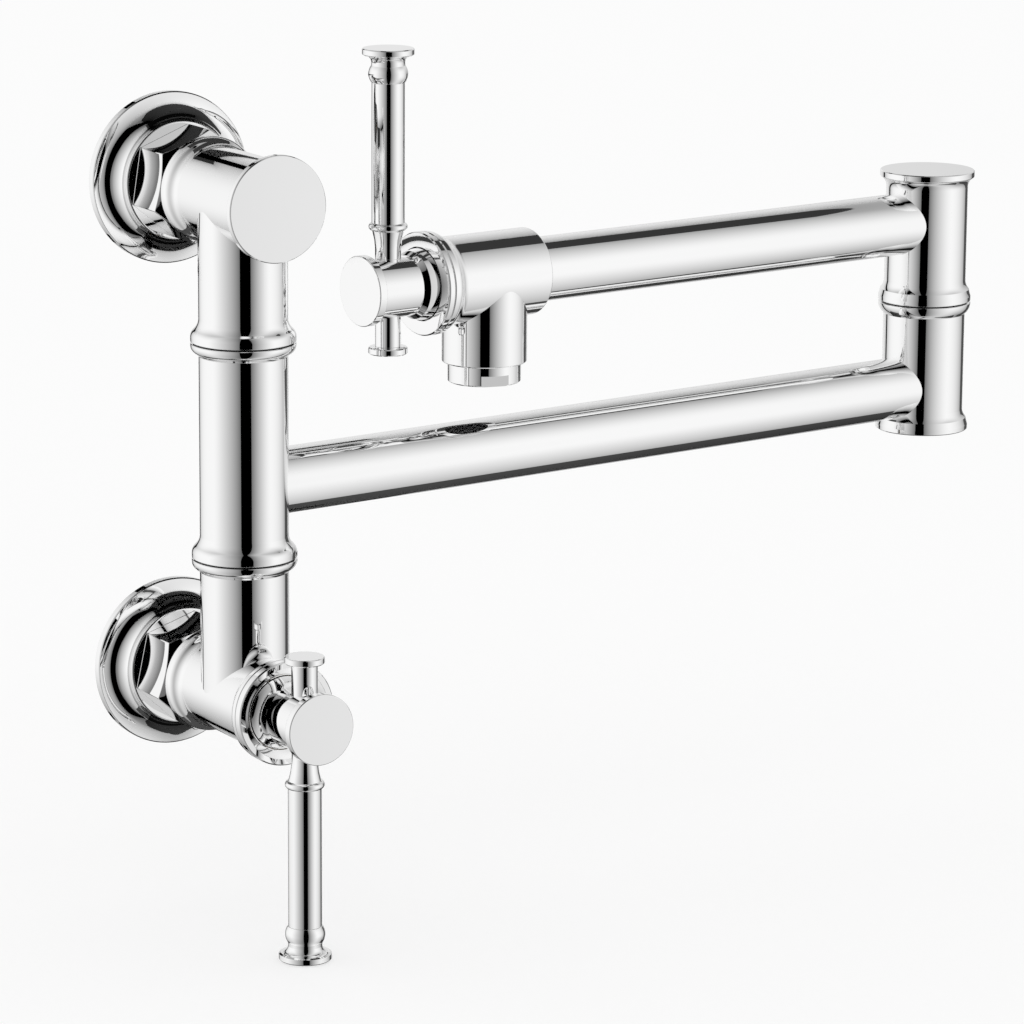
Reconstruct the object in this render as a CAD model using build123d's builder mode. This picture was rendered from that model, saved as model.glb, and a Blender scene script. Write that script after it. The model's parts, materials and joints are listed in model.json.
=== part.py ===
"""Wall mounted pot filler: two wall unions, a riser with a turning sleeve, a folding double arm
and a spout, with a quarter-turn valve at the inlet and another at the spout.

Frame, in millimetres: the wall is the plane Y = 0 and the object stands out of it towards -Y.
X runs along the wall, Z is up, and the origin is the mouth of the lower wall adapter.
"""

from build123d import *
import os
from math import cos, radians, sin

# ------------------------------------------------------------------ driving dimensions
UNION_CENTRES = 203.2  # lower to upper wall union, 8 in
RISER_OUT = 66.0  # wall to the riser's axis
LOWER_ARM = 363.0  # riser axis to post axis
UPPER_ARM = 243.0  # post axis to spout axis
FOLD_LEAN = 6.0  # degrees that the folded arms lean in towards the wall
LOWER_ARM_Z = 86.5
UPPER_ARM_Z = 160.0
LOWER_SPLIT_Z = 57.2  # the sleeve turns between these two splits of the riser
UPPER_SPLIT_Z = 145.6
POST_SPLIT_Z = 124.5
POST_BOTTOM_Z = 67.0
POST_TOP_Z = 183.0

BODY_R = 18.0  # riser and post
INLET_R = 18.2  # barrel of the lower valve body
ELBOW_R = 18.4  # barrel of the upper elbow
SPOUT_R = 18.2
OUTLET_R = 17.75
ARM_R = 13.5
ARM_BORE_R = 11.5
BEAD_R = 21.3  # turned bead at the end of each riser section
POST_BEAD_R = 20.4
UNION_BEAD_R = 21.5
VALVE_BEAD_R = 21.4
SPLIT = 0.5  # height of the dark line between two beads
RUNNING = 0.05  # radial clearance of a turning fit

UP = Vector(0, 0, 1)
DOWN = Vector(0, 0, -1)
OUT = Vector(0, -1, 0)
ARM_WAY = Vector(cos(radians(FOLD_LEAN)), sin(radians(FOLD_LEAN)), 0)
BACK_WAY = -ARM_WAY
RISER = Vector(0, -RISER_OUT, 0)
POST = RISER + ARM_WAY * LOWER_ARM
SPOUT = POST + BACK_WAY * UPPER_ARM

os.makedirs("parts", exist_ok=True)


def along(origin, way):
    """A plane for turned work: local x is the radius and local y runs along the axis."""
    radius_way = Vector(1, 0, 0) if abs(way.Z) > 0.5 else UP
    return Plane(origin=origin, x_dir=radius_way, z_dir=radius_way.cross(way))


def across(origin, way):
    """A plane square to an axis, for holes and hexagons."""
    side = Vector(1, 0, 0) if abs(way.X) < 0.5 else UP
    return Plane(origin=origin, x_dir=side, z_dir=way)


def spin(plane):
    """The axis of a turned piece drawn on along()."""
    return Axis(plane.origin, plane.y_dir)


def save(piece, label):
    piece.part.label = label
    export_step(piece.part, f"parts/{label}.step")


def ring(plane, inner, outer, start, end):
    """A plain turned ring, or a plug where inner is 0."""
    with BuildPart() as piece:
        with BuildSketch(plane):
            with Locations(((inner + outer) / 2, (start + end) / 2)):
                Rectangle(outer - inner, end - start)
        revolve(axis=spin(plane))
    return piece


def bore(plane, radius, start, end):
    """Cut a round hole about the plane's axis out of the part being built."""
    with BuildSketch(plane) as hole:
        with Locations((radius / 2, (start + end) / 2)):
            Rectangle(radius, end - start)
    revolve(hole.sketch, axis=spin(plane), mode=Mode.SUBTRACT)


# ------------------------------------------------------------------ turned end shapes
BEAD_REACH = 5.2  # split face to the plain tube, on the blunt side of a split
FLARE_REACH = 9.2  # the same on the flared side


def blunt_bead(tube_r, bead_r, face, way):
    """Outline of a blunt bead: from the plain tube out and along to the split face."""
    shoulder = (tube_r + 1.0, face - way * 4.2)
    Line((tube_r, face - way * (BEAD_REACH + 1)), (tube_r, face - way * BEAD_REACH))
    Line((tube_r, face - way * BEAD_REACH), shoulder)
    ThreePointArc(shoulder, (bead_r - 0.45, face - way * 2.6), (bead_r, face - way * 0.7))
    Line((bead_r, face - way * 0.7), (bead_r - 0.5, face))


def flared_bead(tube_r, bead_r, face, way):
    """Outline of a flared bead: the tube opens in a cove, then rounds over to the split face."""
    throat = (tube_r, face - way * FLARE_REACH)
    neck = (tube_r + 1.6, face - way * 5.2)
    Line((tube_r, face - way * (FLARE_REACH + 1)), throat)
    ThreePointArc(throat, (tube_r + 0.45, face - way * 7.0), neck)
    ThreePointArc(neck, (bead_r - 0.45, face - way * 3.7), (bead_r, face - way * 2.2))
    Line((bead_r, face - way * 2.2), (bead_r, face - way * 0.6))
    Line((bead_r, face - way * 0.6), (bead_r - 0.5, face))


def capped_cove(tube_r, rim_r, face, way):
    """Outline of the cove under a flat end cap."""
    throat = (tube_r, face - way * 4.4)
    Line((tube_r, face - way * 5.4), throat)
    ThreePointArc(throat, (tube_r + 0.75, face - way * 1.7), (rim_r - 0.5, face))


# ------------------------------------------------------------------ wall unions
ESCUTCHEON_R = 35.3
BOSS_FACE = 12.5  # front face of the escutcheon's boss, and the back of the nut
THREAD_R = 16.4  # union thread
PIPE_THREAD_R = 9.3  # minor radius of the half-inch female thread
NUT_FLATS = 40.4
NUT_FRONT = 34.0
WATERWAY_R = 7.5
TAIL_THREAD_R = 10.5
TAIL_FLANGE = (23.0, 27.0)
COLLAR_BACK = 36.5
TAIL_END = 47.5


def escutcheon(plane):
    """Flange with a crisp rim and a cove that steepens up to its boss, open at the back."""
    edge = (34.9, 3.7)
    knee = (29.2, 4.6)
    lip = (24.6, 11.3)
    with BuildPart() as piece:
        with BuildSketch(plane):
            with BuildLine():
                Polyline((33.0, 0), (ESCUTCHEON_R, 0), (ESCUTCHEON_R, 3.2), edge)
                ThreePointArc(edge, (32.0, 3.9), knee)
                ThreePointArc(knee, (25.8, 7.19), lip)
                ThreePointArc(lip, (24.3, 12.1), (23.6, BOSS_FACE))
                Polyline((23.6, BOSS_FACE), (THREAD_R, BOSS_FACE), (THREAD_R, 10.3), (22.2, 10.3))
                Polyline((22.2, 10.3), (24.8, 4.2), (28.2, 2.3), (33.0, 2.2), (33.0, 0))
            make_face()
        revolve(axis=spin(plane))
    return piece


def wall_adapter(plane, station):
    """Female pipe thread at the wall, a hexagon for its key, and the male union thread."""
    key_flats = 13.0
    with BuildPart() as piece:
        add(ring(plane, PIPE_THREAD_R, THREAD_R, 0, 15.0).part)
        add(ring(plane, WATERWAY_R - 2, THREAD_R, 15.0, 21.0).part)
        with BuildSketch(across(station + OUT * 15.0, OUT)):
            RegularPolygon(key_flats / 2, 6, major_radius=False)
        extrude(amount=6.0, mode=Mode.SUBTRACT)
    return piece


def union_nut(plane, station, turn):
    """Hexagonal nut with a 30 degree front chamfer and a shoulder behind the tail flange."""
    with BuildPart() as piece:
        with BuildSketch(across(station + OUT * BOSS_FACE, OUT)):
            RegularPolygon(NUT_FLATS / 2, 6, major_radius=False, rotation=-turn)
        extrude(amount=NUT_FRONT - BOSS_FACE)
        with BuildSketch(plane):
            Polygon((0, BOSS_FACE), (25, BOSS_FACE), (25, 30.6), (19.2, NUT_FRONT), (0, NUT_FRONT), align=None)
        revolve(axis=spin(plane), mode=Mode.INTERSECT)
        bore(plane, THREAD_R, BOSS_FACE, TAIL_FLANGE[1])
        bore(plane, 13.1, TAIL_FLANGE[1], NUT_FRONT)
    return piece


def tailpiece(plane):
    """Flange for the washer, a neck through the nut, and a thread into the body."""
    flange_start, flange_end = TAIL_FLANGE
    with BuildPart() as piece:
        with BuildSketch(plane):
            with BuildLine():
                Polyline(
                    (WATERWAY_R, flange_start),
                    (THREAD_R - 0.2, flange_start),
                    (THREAD_R - 0.2, flange_end),
                    (13.0, flange_end),
                    (13.0, COLLAR_BACK),
                    (TAIL_THREAD_R, COLLAR_BACK),
                    (TAIL_THREAD_R, TAIL_END),
                    (WATERWAY_R, TAIL_END),
                    close=True,
                )
            make_face()
        revolve(axis=spin(plane))
    return piece


nut_turns = {"lower": 12.5, "upper": 9.0}
seals = []
washers = []
for name, height in (("lower", 0.0), ("upper", UNION_CENTRES)):
    station = Vector(0, 0, height)
    union_plane = along(station, OUT)
    save(escutcheon(union_plane), f"{name}_escutcheon")
    save(wall_adapter(union_plane, station), f"{name}_wall_adapter")
    save(union_nut(union_plane, station, nut_turns[name]), f"{name}_union_nut")
    save(tailpiece(union_plane), f"{name}_tailpiece")
    seals.append(ring(union_plane, 30.2, 33.0, 0, 2.2).part)
    washers.append(ring(union_plane, 8.6, THREAD_R - 0.2, 21.0, TAIL_FLANGE[0]).part)

with BuildPart() as escutcheon_seals:
    add(seals)
save(escutcheon_seals, "escutcheon_seals")

with BuildPart() as union_washers:
    add(washers)
save(union_washers, "union_washers")

# ------------------------------------------------------------------ valve cartridge and trim
# A valve is drawn along its own axis, with 0 at the split between the body and the trim collar.
CAP_FACE = 32.7
ROD_STATION = CAP_FACE - 14.0
SEAT = -43.5
CHAMBER = (-40.0, -22.0)
CHAMBER_R = 11.5
CARTRIDGE_R = 9.25
GLAND_THREAD_R = 10.5
COLLAR_RECESS = 3.0
COLLAR_RECESS_R = 16.4
WEB = 1.0  # front of the collar's web, clamped under the gland flange
STEM_R = 4.5
SPLINE_R = 3.9
DISC_R = 7.6
HUB_R = 15.0
KNOB_R = 12.4
CAP_R = 14.5
CAP_BACK = CAP_FACE - 3.8
ROD_R = 5.3
TIE_R = 3.0
GRUB_R = 1.5
GRUB_STATION = 9.9


def valve_cavity(plane):
    """The stepped cavity in a body: seal seat, chamber round the windows, gland thread, recess."""
    bore(plane, CARTRIDGE_R, SEAT, -12.0)
    bore(plane, CHAMBER_R, *CHAMBER)
    bore(plane, GLAND_THREAD_R, -14.0, 0)
    bore(plane, COLLAR_RECESS_R, -COLLAR_RECESS, 0)


def trim_collar(plane, rim_front, throat_front):
    """Ring clamped under the gland: a plain rim, and a dished face that leads to the hub."""
    edge = (VALVE_BEAD_R - 0.5, rim_front)
    middle = (18.2, rim_front + (throat_front - rim_front) * 0.2)
    throat = (HUB_R + 0.35, throat_front)
    with BuildPart() as piece:
        with BuildSketch(plane):
            with BuildLine():
                Polyline((COLLAR_RECESS_R, 0), (VALVE_BEAD_R - 0.5, 0), (VALVE_BEAD_R, 0.5))
                Polyline((VALVE_BEAD_R, 0.5), (VALVE_BEAD_R, rim_front - 0.5), edge)
                ThreePointArc(edge, middle, throat)
                Polyline(throat, (HUB_R + 0.35, WEB), (GLAND_THREAD_R, WEB))
                Polyline((GLAND_THREAD_R, WEB), (GLAND_THREAD_R, -COLLAR_RECESS))
                Polyline((GLAND_THREAD_R, -COLLAR_RECESS), (COLLAR_RECESS_R, -COLLAR_RECESS))
                Polyline((COLLAR_RECESS_R, -COLLAR_RECESS), (COLLAR_RECESS_R, 0))
            make_face()
        revolve(axis=spin(plane))
    return piece


def cartridge_body(plane):
    """Brass headwork: skirt with two windows, threaded waist, gland flange over the collar."""
    skirt_r = DISC_R + RUNNING
    stem_bore_r = STEM_R + RUNNING
    with BuildPart() as piece:
        with BuildSketch(plane):
            with BuildLine():
                Polyline(
                    (skirt_r, -41.5),
                    (CARTRIDGE_R, -41.5),
                    (CARTRIDGE_R, -14.0),
                    (GLAND_THREAD_R, -14.0),
                    (GLAND_THREAD_R, WEB),
                    (12.0, WEB),
                    (12.0, 2.5),
                    (stem_bore_r, 2.5),
                    (stem_bore_r, -6.5),
                    (6.0, -6.5),
                    (6.0, -8.9),
                    (stem_bore_r, -8.9),
                    (stem_bore_r, -28.9),
                    (skirt_r, -28.9),
                    close=True,
                )
            make_face()
        revolve(axis=spin(plane))
        with BuildSketch(plane):
            with Locations((0, -34.2)):
                Rectangle(9.0, 6.4)
        extrude(amount=CHAMBER_R, both=True, mode=Mode.SUBTRACT)
    return piece


def fixed_disc(plane, seat_point, way):
    """Ceramic disc with two round ports, held still in the skirt."""
    with BuildPart() as piece:
        add(ring(plane, 0, DISC_R, -41.5, -38.0).part)
        with BuildSketch(across(seat_point + way * 2.0, way)):
            with PolarLocations(4.2, 2, start_angle=90):
                Circle(2.3)
        extrude(amount=3.5, mode=Mode.SUBTRACT)
    return piece


def moving_disc(plane, seat_point, way):
    """Ceramic disc with two rim notches that uncover the ports after a quarter turn."""
    with BuildPart() as piece:
        add(ring(plane, 0, DISC_R - RUNNING, -38.0, -35.0).part)
        with BuildSketch(across(seat_point + way * 5.5, way)):
            with PolarLocations(6.2, 2, start_angle=0):
                Circle(3.0)
        extrude(amount=3.0, mode=Mode.SUBTRACT)
    return piece


def valve_stem(plane):
    """Driver head on the moving disc, shaft through the gland, and the splined end."""
    with BuildPart() as piece:
        with BuildSketch(plane):
            with BuildLine():
                Polyline(
                    (0, -35.0),
                    (DISC_R - RUNNING, -35.0),
                    (DISC_R - RUNNING, -28.95),
                    (STEM_R, -28.95),
                    (STEM_R, 3.1),
                    (SPLINE_R, 3.1),
                    (SPLINE_R, 11.6),
                    (0, 11.6),
                    close=True,
                )
            make_face()
        revolve(axis=spin(plane))
    return piece


def handle_hub(plane, origin, way, lever_way, grub_way, foot, waist_r, flange_front, cove_end):
    """Knob with a cove down to its flange, a skirt over the gland and a cross hole for the rod."""
    flange_back = WEB + 0.6
    draw_in = HUB_R - waist_r
    curve = (HUB_R - draw_in * 0.715, foot + draw_in * 0.91)
    waist = (waist_r, foot + draw_in * 2.03)
    lip_r = waist_r - 0.3
    cove_middle = (KNOB_R + (lip_r - KNOB_R) * 0.35, flange_front + (cove_end - flange_front) * 0.32)
    with BuildPart() as piece:
        with BuildSketch(plane):
            with BuildLine():
                Polyline((0, flange_back), (HUB_R, flange_back), (HUB_R, foot))
                ThreePointArc((HUB_R, foot), curve, waist)
                Polyline(waist, (waist_r, flange_front - 0.3), (lip_r, flange_front))
                ThreePointArc((lip_r, flange_front), cove_middle, (KNOB_R, cove_end))
                Polyline((KNOB_R, cove_end), (KNOB_R, CAP_BACK), (0, CAP_BACK), (0, flange_back))
            make_face()
        revolve(axis=spin(plane))
        bore(plane, 12.6, flange_back, 3.1)
        bore(plane, SPLINE_R, 3.1, 11.6)
        bore(plane, 6.0, 25.6, CAP_BACK)
        with BuildSketch(across(origin + way * ROD_STATION - lever_way * 20, lever_way)):
            Circle(ROD_R)
        extrude(amount=40, mode=Mode.SUBTRACT)
        with BuildSketch(across(origin + way * GRUB_STATION, grub_way)):
            Circle(GRUB_R)
        extrude(amount=HUB_R + 1, mode=Mode.SUBTRACT)
    return piece


def handle_cap(plane):
    """Flat end cap on a short stud."""
    with BuildPart() as piece:
        with BuildSketch(plane):
            with BuildLine():
                Polyline(
                    (0, 25.6),
                    (6.0, 25.6),
                    (6.0, CAP_BACK),
                    (CAP_R - 0.5, CAP_BACK),
                    (CAP_R, CAP_BACK + 0.5),
                    (CAP_R, CAP_FACE - 0.5),
                    (CAP_R - 0.5, CAP_FACE),
                    (0, CAP_FACE),
                    close=True,
                )
            make_face()
        revolve(axis=spin(plane))
    return piece


def grub_screw(origin, way, grub_way):
    """Socket grub screw from the hub's side on to the spline."""
    base = origin + way * GRUB_STATION + grub_way * SPLINE_R
    with BuildPart() as piece:
        with BuildSketch(across(base, grub_way)):
            Circle(GRUB_R)
        extrude(amount=6.0)
        with BuildSketch(across(base + grub_way * 6.0, grub_way)):
            RegularPolygon(0.8, 6)
        extrude(amount=-2.0, mode=Mode.SUBTRACT)
    return piece


# ------------------------------------------------------------------ lever, drawn along its rod
STUB_END = -24.0
STUB_DISC = (-27.1, 8.1)
FERRULE_START = 12.4
FERRULE_END = 27.0
GRIP_R = 6.8
GRIP_END = 84.3
FINIAL_DISC_R = 10.7
LEVER_END = 98.2
TIE_END = 88.0


def lever_rod(plane):
    """Rod through the knob: full size on the short side, a tie rod inside the long side."""
    with BuildPart() as piece:
        with BuildSketch(plane):
            with BuildLine():
                Polyline(
                    (0, STUB_END - 2),
                    (TIE_R, STUB_END - 2),
                    (TIE_R, STUB_END),
                    (ROD_R, STUB_END),
                    (ROD_R, FERRULE_START),
                    (TIE_R, FERRULE_START),
                    (TIE_R, TIE_END),
                    (0, TIE_END),
                    close=True,
                )
            make_face()
        revolve(axis=spin(plane))
    return piece


def lever_end_disc(plane):
    """Button on the short end of the rod."""
    outer, radius = STUB_DISC
    with BuildPart() as piece:
        with BuildSketch(plane):
            with BuildLine():
                Polyline((TIE_R, STUB_END), (ROD_R + 0.9, STUB_END), (radius - 0.4, STUB_END - 0.3))
                Polyline((radius - 0.4, STUB_END - 0.3), (radius, STUB_END - 0.7), (radius, outer + 0.4))
                Polyline((radius, outer + 0.4), (radius - 0.4, outer), (0, outer), (0, STUB_END - 2))
                Polyline((0, STUB_END - 2), (TIE_R, STUB_END - 2), (TIE_R, STUB_END))
            make_face()
        revolve(axis=spin(plane))
    return piece


def lever_ferrule(plane):
    """Taper that opens from the knob to a small bead."""
    with BuildPart() as piece:
        with BuildSketch(plane):
            with BuildLine():
                Line((TIE_R, FERRULE_START), (ROD_R, FERRULE_START))
                ThreePointArc((ROD_R, FERRULE_START), (5.5, 18.6), (6.6, 23.9))
                ThreePointArc((6.6, 23.9), (8.0, 25.5), (6.9, FERRULE_END))
                Line((6.9, FERRULE_END), (TIE_R, FERRULE_END))
                Line((TIE_R, FERRULE_END), (TIE_R, FERRULE_START))
            make_face()
        revolve(axis=spin(plane))
    return piece


def lever_finial(plane):
    """Barrel, neck and cove up to the flat end disc, tapped for the tie rod."""
    with BuildPart() as piece:
        with BuildSketch(plane):
            with BuildLine():
                Line((TIE_R, GRIP_END), (7.0, GRIP_END))
                ThreePointArc((7.0, GRIP_END), (8.1, 87.6), (7.0, 91.2))
                Line((7.0, 91.2), (6.9, 92.4))
                ThreePointArc((6.9, 92.4), (7.7, 94.4), (9.8, 95.3))
                Line((9.8, 95.3), (FINIAL_DISC_R, 95.8))
                Polyline((FINIAL_DISC_R, 95.8), (FINIAL_DISC_R, 97.8), (10.3, LEVER_END), (0, LEVER_END))
                Polyline((0, LEVER_END), (0, TIE_END), (TIE_R, TIE_END), (TIE_R, GRIP_END))
            make_face()
        revolve(axis=spin(plane))
    return piece


def make_valve(name, origin, way, lever_way, grub_way, collar_fronts, hub_stations):
    """Every piece of one valve and its lever; origin is the split in front of the body."""
    plane = along(origin, way)
    seat_point = origin + way * SEAT
    rod_plane = along(origin + way * ROD_STATION, lever_way)
    save(trim_collar(plane, *collar_fronts), f"{name}_valve_collar")
    save(cartridge_body(plane), f"{name}_cartridge_body")
    save(ring(plane, 5.6, 8.9, SEAT, SEAT + 2), f"{name}_cartridge_seal")
    save(fixed_disc(plane, seat_point, way), f"{name}_fixed_disc")
    save(moving_disc(plane, seat_point, way), f"{name}_moving_disc")
    save(ring(plane, STEM_R + RUNNING, 6.0, -8.8, -6.6), f"{name}_stem_o_ring")
    save(valve_stem(plane), f"{name}_valve_stem")
    save(handle_hub(plane, origin, way, lever_way, grub_way, *hub_stations), f"{name}_handle_hub")
    save(handle_cap(plane), f"{name}_handle_cap")
    save(grub_screw(origin, way, grub_way), f"{name}_grub_screw")
    save(lever_rod(rod_plane), f"{name}_lever_rod")
    save(lever_end_disc(rod_plane), f"{name}_lever_end_disc")
    save(lever_ferrule(rod_plane), f"{name}_lever_ferrule")
    save(ring(rod_plane, TIE_R, GRIP_R, FERRULE_END, GRIP_END), f"{name}_lever_grip")
    save(lever_finial(rod_plane), f"{name}_lever_finial")


LOWER_VALVE = OUT * 97.6
SPOUT_VALVE = SPOUT + UP * UPPER_ARM_Z + BACK_WAY * 30.3
SPOUT_SIDE = Vector(BACK_WAY.Y, -BACK_WAY.X, 0)
make_valve("lower", LOWER_VALVE, OUT, DOWN, Vector(1, 0, 0), (4.0, 5.0), (4.7, 14.0, 13.0, 14.9))
make_valve("spout", SPOUT_VALVE, BACK_WAY, UP, SPOUT_SIDE, (3.0, 2.8), (2.6, 14.8, 6.4, 9.3))

# ------------------------------------------------------------------ lower valve body and riser stub
SPINDLE_R = 12.0
SPINDLE_BORE_R = 8.5
SPINDLE_FOOT = 30.0
SPINDLE_HEAD = 172.0
riser_plane = along(RISER, UP)
inlet_plane = along(Vector(0, 0, 0), OUT)
lower_valve_plane = along(LOWER_VALVE, OUT)
stub_top = LOWER_SPLIT_Z - SPLIT / 2

with BuildPart() as lower_valve_body:
    with BuildSketch(inlet_plane):
        with BuildLine():
            flared_bead(INLET_R, UNION_BEAD_R, COLLAR_BACK, -1)
            Line((INLET_R, COLLAR_BACK + FLARE_REACH + 1), (INLET_R, -LOWER_VALVE.Y - FLARE_REACH - 1))
            flared_bead(INLET_R, VALVE_BEAD_R, -LOWER_VALVE.Y, 1)
            Line((VALVE_BEAD_R - 0.5, -LOWER_VALVE.Y), (0, -LOWER_VALVE.Y))
            Line((0, -LOWER_VALVE.Y), (0, COLLAR_BACK))
            Line((0, COLLAR_BACK), (UNION_BEAD_R - 0.5, COLLAR_BACK))
        make_face()
    revolve(axis=spin(inlet_plane))
    with BuildSketch(riser_plane):
        with BuildLine():
            Line((0, 0), (BODY_R, 0))
            Line((BODY_R, 0), (BODY_R, stub_top - BEAD_REACH - 1))
            blunt_bead(BODY_R, BEAD_R, stub_top, 1)
            Line((BEAD_R - 0.5, stub_top), (0, stub_top))
            Line((0, stub_top), (0, 0))
        make_face()
    revolve(axis=spin(riser_plane))
    bore(inlet_plane, TAIL_THREAD_R, COLLAR_BACK, TAIL_END)
    bore(inlet_plane, WATERWAY_R, TAIL_END, TAIL_END + 8)
    valve_cavity(lower_valve_plane)
    bore(riser_plane, SPINDLE_BORE_R, 0, SPINDLE_FOOT)
    bore(riser_plane, SPINDLE_R, SPINDLE_FOOT, stub_top)
save(lower_valve_body, "lower_valve_body")

# ------------------------------------------------------------------ upper elbow and its cap
ELBOW_CAP_R = 21.5
ELBOW_FACE = 96.0
ELBOW_CAP_BACK = ELBOW_FACE - 3.0
upper_plane = along(UP * UNION_CENTRES, OUT)
elbow_mouth = UPPER_SPLIT_Z + SPLIT / 2

with BuildPart() as upper_elbow:
    with BuildSketch(upper_plane):
        with BuildLine():
            flared_bead(ELBOW_R, UNION_BEAD_R, COLLAR_BACK, -1)
            Line((ELBOW_R, COLLAR_BACK + FLARE_REACH + 1), (ELBOW_R, ELBOW_CAP_BACK - 5.4))
            capped_cove(ELBOW_R, ELBOW_CAP_R, ELBOW_CAP_BACK, 1)
            Line((ELBOW_CAP_R - 0.5, ELBOW_CAP_BACK), (0, ELBOW_CAP_BACK))
            Line((0, ELBOW_CAP_BACK), (0, COLLAR_BACK))
            Line((0, COLLAR_BACK), (UNION_BEAD_R - 0.5, COLLAR_BACK))
        make_face()
    revolve(axis=spin(upper_plane))
    with BuildSketch(riser_plane):
        with BuildLine():
            flared_bead(BODY_R, BEAD_R, elbow_mouth, -1)
            Line((BODY_R, elbow_mouth + FLARE_REACH + 1), (BODY_R, UNION_CENTRES))
            Line((BODY_R, UNION_CENTRES), (0, UNION_CENTRES))
            Line((0, UNION_CENTRES), (0, elbow_mouth))
            Line((0, elbow_mouth), (BEAD_R - 0.5, elbow_mouth))
        make_face()
    revolve(axis=spin(riser_plane))
    bore(upper_plane, TAIL_THREAD_R, COLLAR_BACK, TAIL_END)
    bore(upper_plane, 10.0, 86.0, ELBOW_CAP_BACK)
    bore(riser_plane, SPINDLE_R, elbow_mouth, SPINDLE_HEAD)
save(upper_elbow, "upper_elbow")


def end_cap(plane, radius, plug_r, plug_start, back, face):
    """Flat disc on a threaded plug, closing the end of a body."""
    with BuildPart() as piece:
        with BuildSketch(plane):
            with BuildLine():
                Polyline(
                    (0, plug_start),
                    (plug_r, plug_start),
                    (plug_r, back),
                    (radius - 0.5, back),
                    (radius, back + 0.5),
                    (radius, face - 0.4),
                    (radius - 0.4, face),
                    (0, face),
                    close=True,
                )
            make_face()
        revolve(axis=spin(plane))
    return piece


save(end_cap(upper_plane, ELBOW_CAP_R, 10.0, 86.0, ELBOW_CAP_BACK, ELBOW_FACE), "elbow_cap")

# ------------------------------------------------------------------ riser spindle and its seals
GROOVE_R = 10.3
GROOVE_HEIGHT = 2.4
RISER_SEALS = (64.0, 70.0, 130.0, 137.0)


def o_ring(plane, station):
    """A six-sided section keeps the hidden seal light."""
    section_r = (SPINDLE_R + RUNNING - 0.01 - GROOVE_R) / 2
    with BuildPart() as piece:
        with BuildSketch(plane):
            with Locations((GROOVE_R + section_r, station)):
                RegularPolygon(section_r, 6)
        revolve(axis=spin(plane))
    return piece


with BuildPart() as riser_spindle:
    add(ring(riser_plane, 0, SPINDLE_R, SPINDLE_FOOT, SPINDLE_HEAD).part)
    bore(riser_plane, SPINDLE_BORE_R, SPINDLE_FOOT, 120.0)
    for way in (ARM_WAY, Vector(-ARM_WAY.Y, ARM_WAY.X, 0)):
        with BuildSketch(across(RISER + UP * LOWER_ARM_Z, way)):
            Circle(4.5)
        extrude(amount=SPINDLE_R + 1, both=True, mode=Mode.SUBTRACT)
    for height in RISER_SEALS:
        low, high = height - GROOVE_HEIGHT / 2, height + GROOVE_HEIGHT / 2
        add(ring(riser_plane, GROOVE_R, SPINDLE_R + 1, low, high).part, mode=Mode.SUBTRACT)
save(riser_spindle, "riser_spindle")

with BuildPart() as riser_o_rings:
    add([o_ring(riser_plane, height).part for height in RISER_SEALS])
save(riser_o_rings, "riser_o_rings")

with BuildPart() as riser_thrust_washers:
    for height in (LOWER_SPLIT_Z, UPPER_SPLIT_Z):
        add(ring(riser_plane, SPINDLE_R, 19.6, height - SPLIT / 2, height + SPLIT / 2).part)
save(riser_thrust_washers, "riser_thrust_washers")

# ------------------------------------------------------------------ lower arm
SOCKET_CORE_R = 16.0  # the arm tubes stop, fish-mouthed, at this radius
PORT_R = 9.0
post_plane = along(POST, UP)
sleeve_bottom = LOWER_SPLIT_Z + SPLIT / 2
sleeve_top = UPPER_SPLIT_Z - SPLIT / 2


def coped_bar(start_axis, height, way, length, radius, core_ends):
    """A round bar between two vertical axes, cut at each named end by the core cylinder."""
    base = start_axis + UP * height
    with BuildPart() as piece:
        with BuildSketch(across(base, way)):
            Circle(radius)
        extrude(amount=length)
        for end in core_ends:
            core = along(start_axis + way * end, UP)
            bore(core, SOCKET_CORE_R, height - 20, height + 20)
    return piece


def arm_socket(axis, height, way):
    """Cut the fish-mouthed socket and its port in the part being built."""
    add(coped_bar(axis, height, way, 25.0, ARM_R, [0.0]).part, mode=Mode.SUBTRACT)
    with BuildSketch(across(axis + UP * height, way)) as port:
        Circle(PORT_R)
    extrude(port.sketch, amount=SOCKET_CORE_R + 1, mode=Mode.SUBTRACT)


with BuildPart() as riser_sleeve:
    with BuildSketch(riser_plane):
        with BuildLine():
            flared_bead(BODY_R, BEAD_R, sleeve_bottom, -1)
            Line((BODY_R, sleeve_bottom + FLARE_REACH + 1), (BODY_R, sleeve_top - BEAD_REACH - 1))
            blunt_bead(BODY_R, BEAD_R, sleeve_top, 1)
            Line((BEAD_R - 0.5, sleeve_top), (SPINDLE_R + RUNNING, sleeve_top))
            Line((SPINDLE_R + RUNNING, sleeve_top), (SPINDLE_R + RUNNING, sleeve_bottom))
            Line((SPINDLE_R + RUNNING, sleeve_bottom), (BEAD_R - 0.5, sleeve_bottom))
        make_face()
    revolve(axis=spin(riser_plane))
    bore(riser_plane, 15.0, LOWER_ARM_Z - 10.5, LOWER_ARM_Z + 10.5)
    arm_socket(RISER, LOWER_ARM_Z, ARM_WAY)
save(riser_sleeve, "riser_sleeve")

with BuildPart() as lower_arm_tube:
    add(coped_bar(RISER, LOWER_ARM_Z, ARM_WAY, LOWER_ARM, ARM_R, [0.0, LOWER_ARM]).part)
    with BuildSketch(across(RISER + UP * LOWER_ARM_Z, ARM_WAY)):
        Circle(ARM_BORE_R)
    extrude(amount=LOWER_ARM, mode=Mode.SUBTRACT)
save(lower_arm_tube, "lower_arm_tube")

lower_half_top = POST_SPLIT_Z - SPLIT / 2
upper_half_bottom = POST_SPLIT_Z + SPLIT / 2

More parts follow.
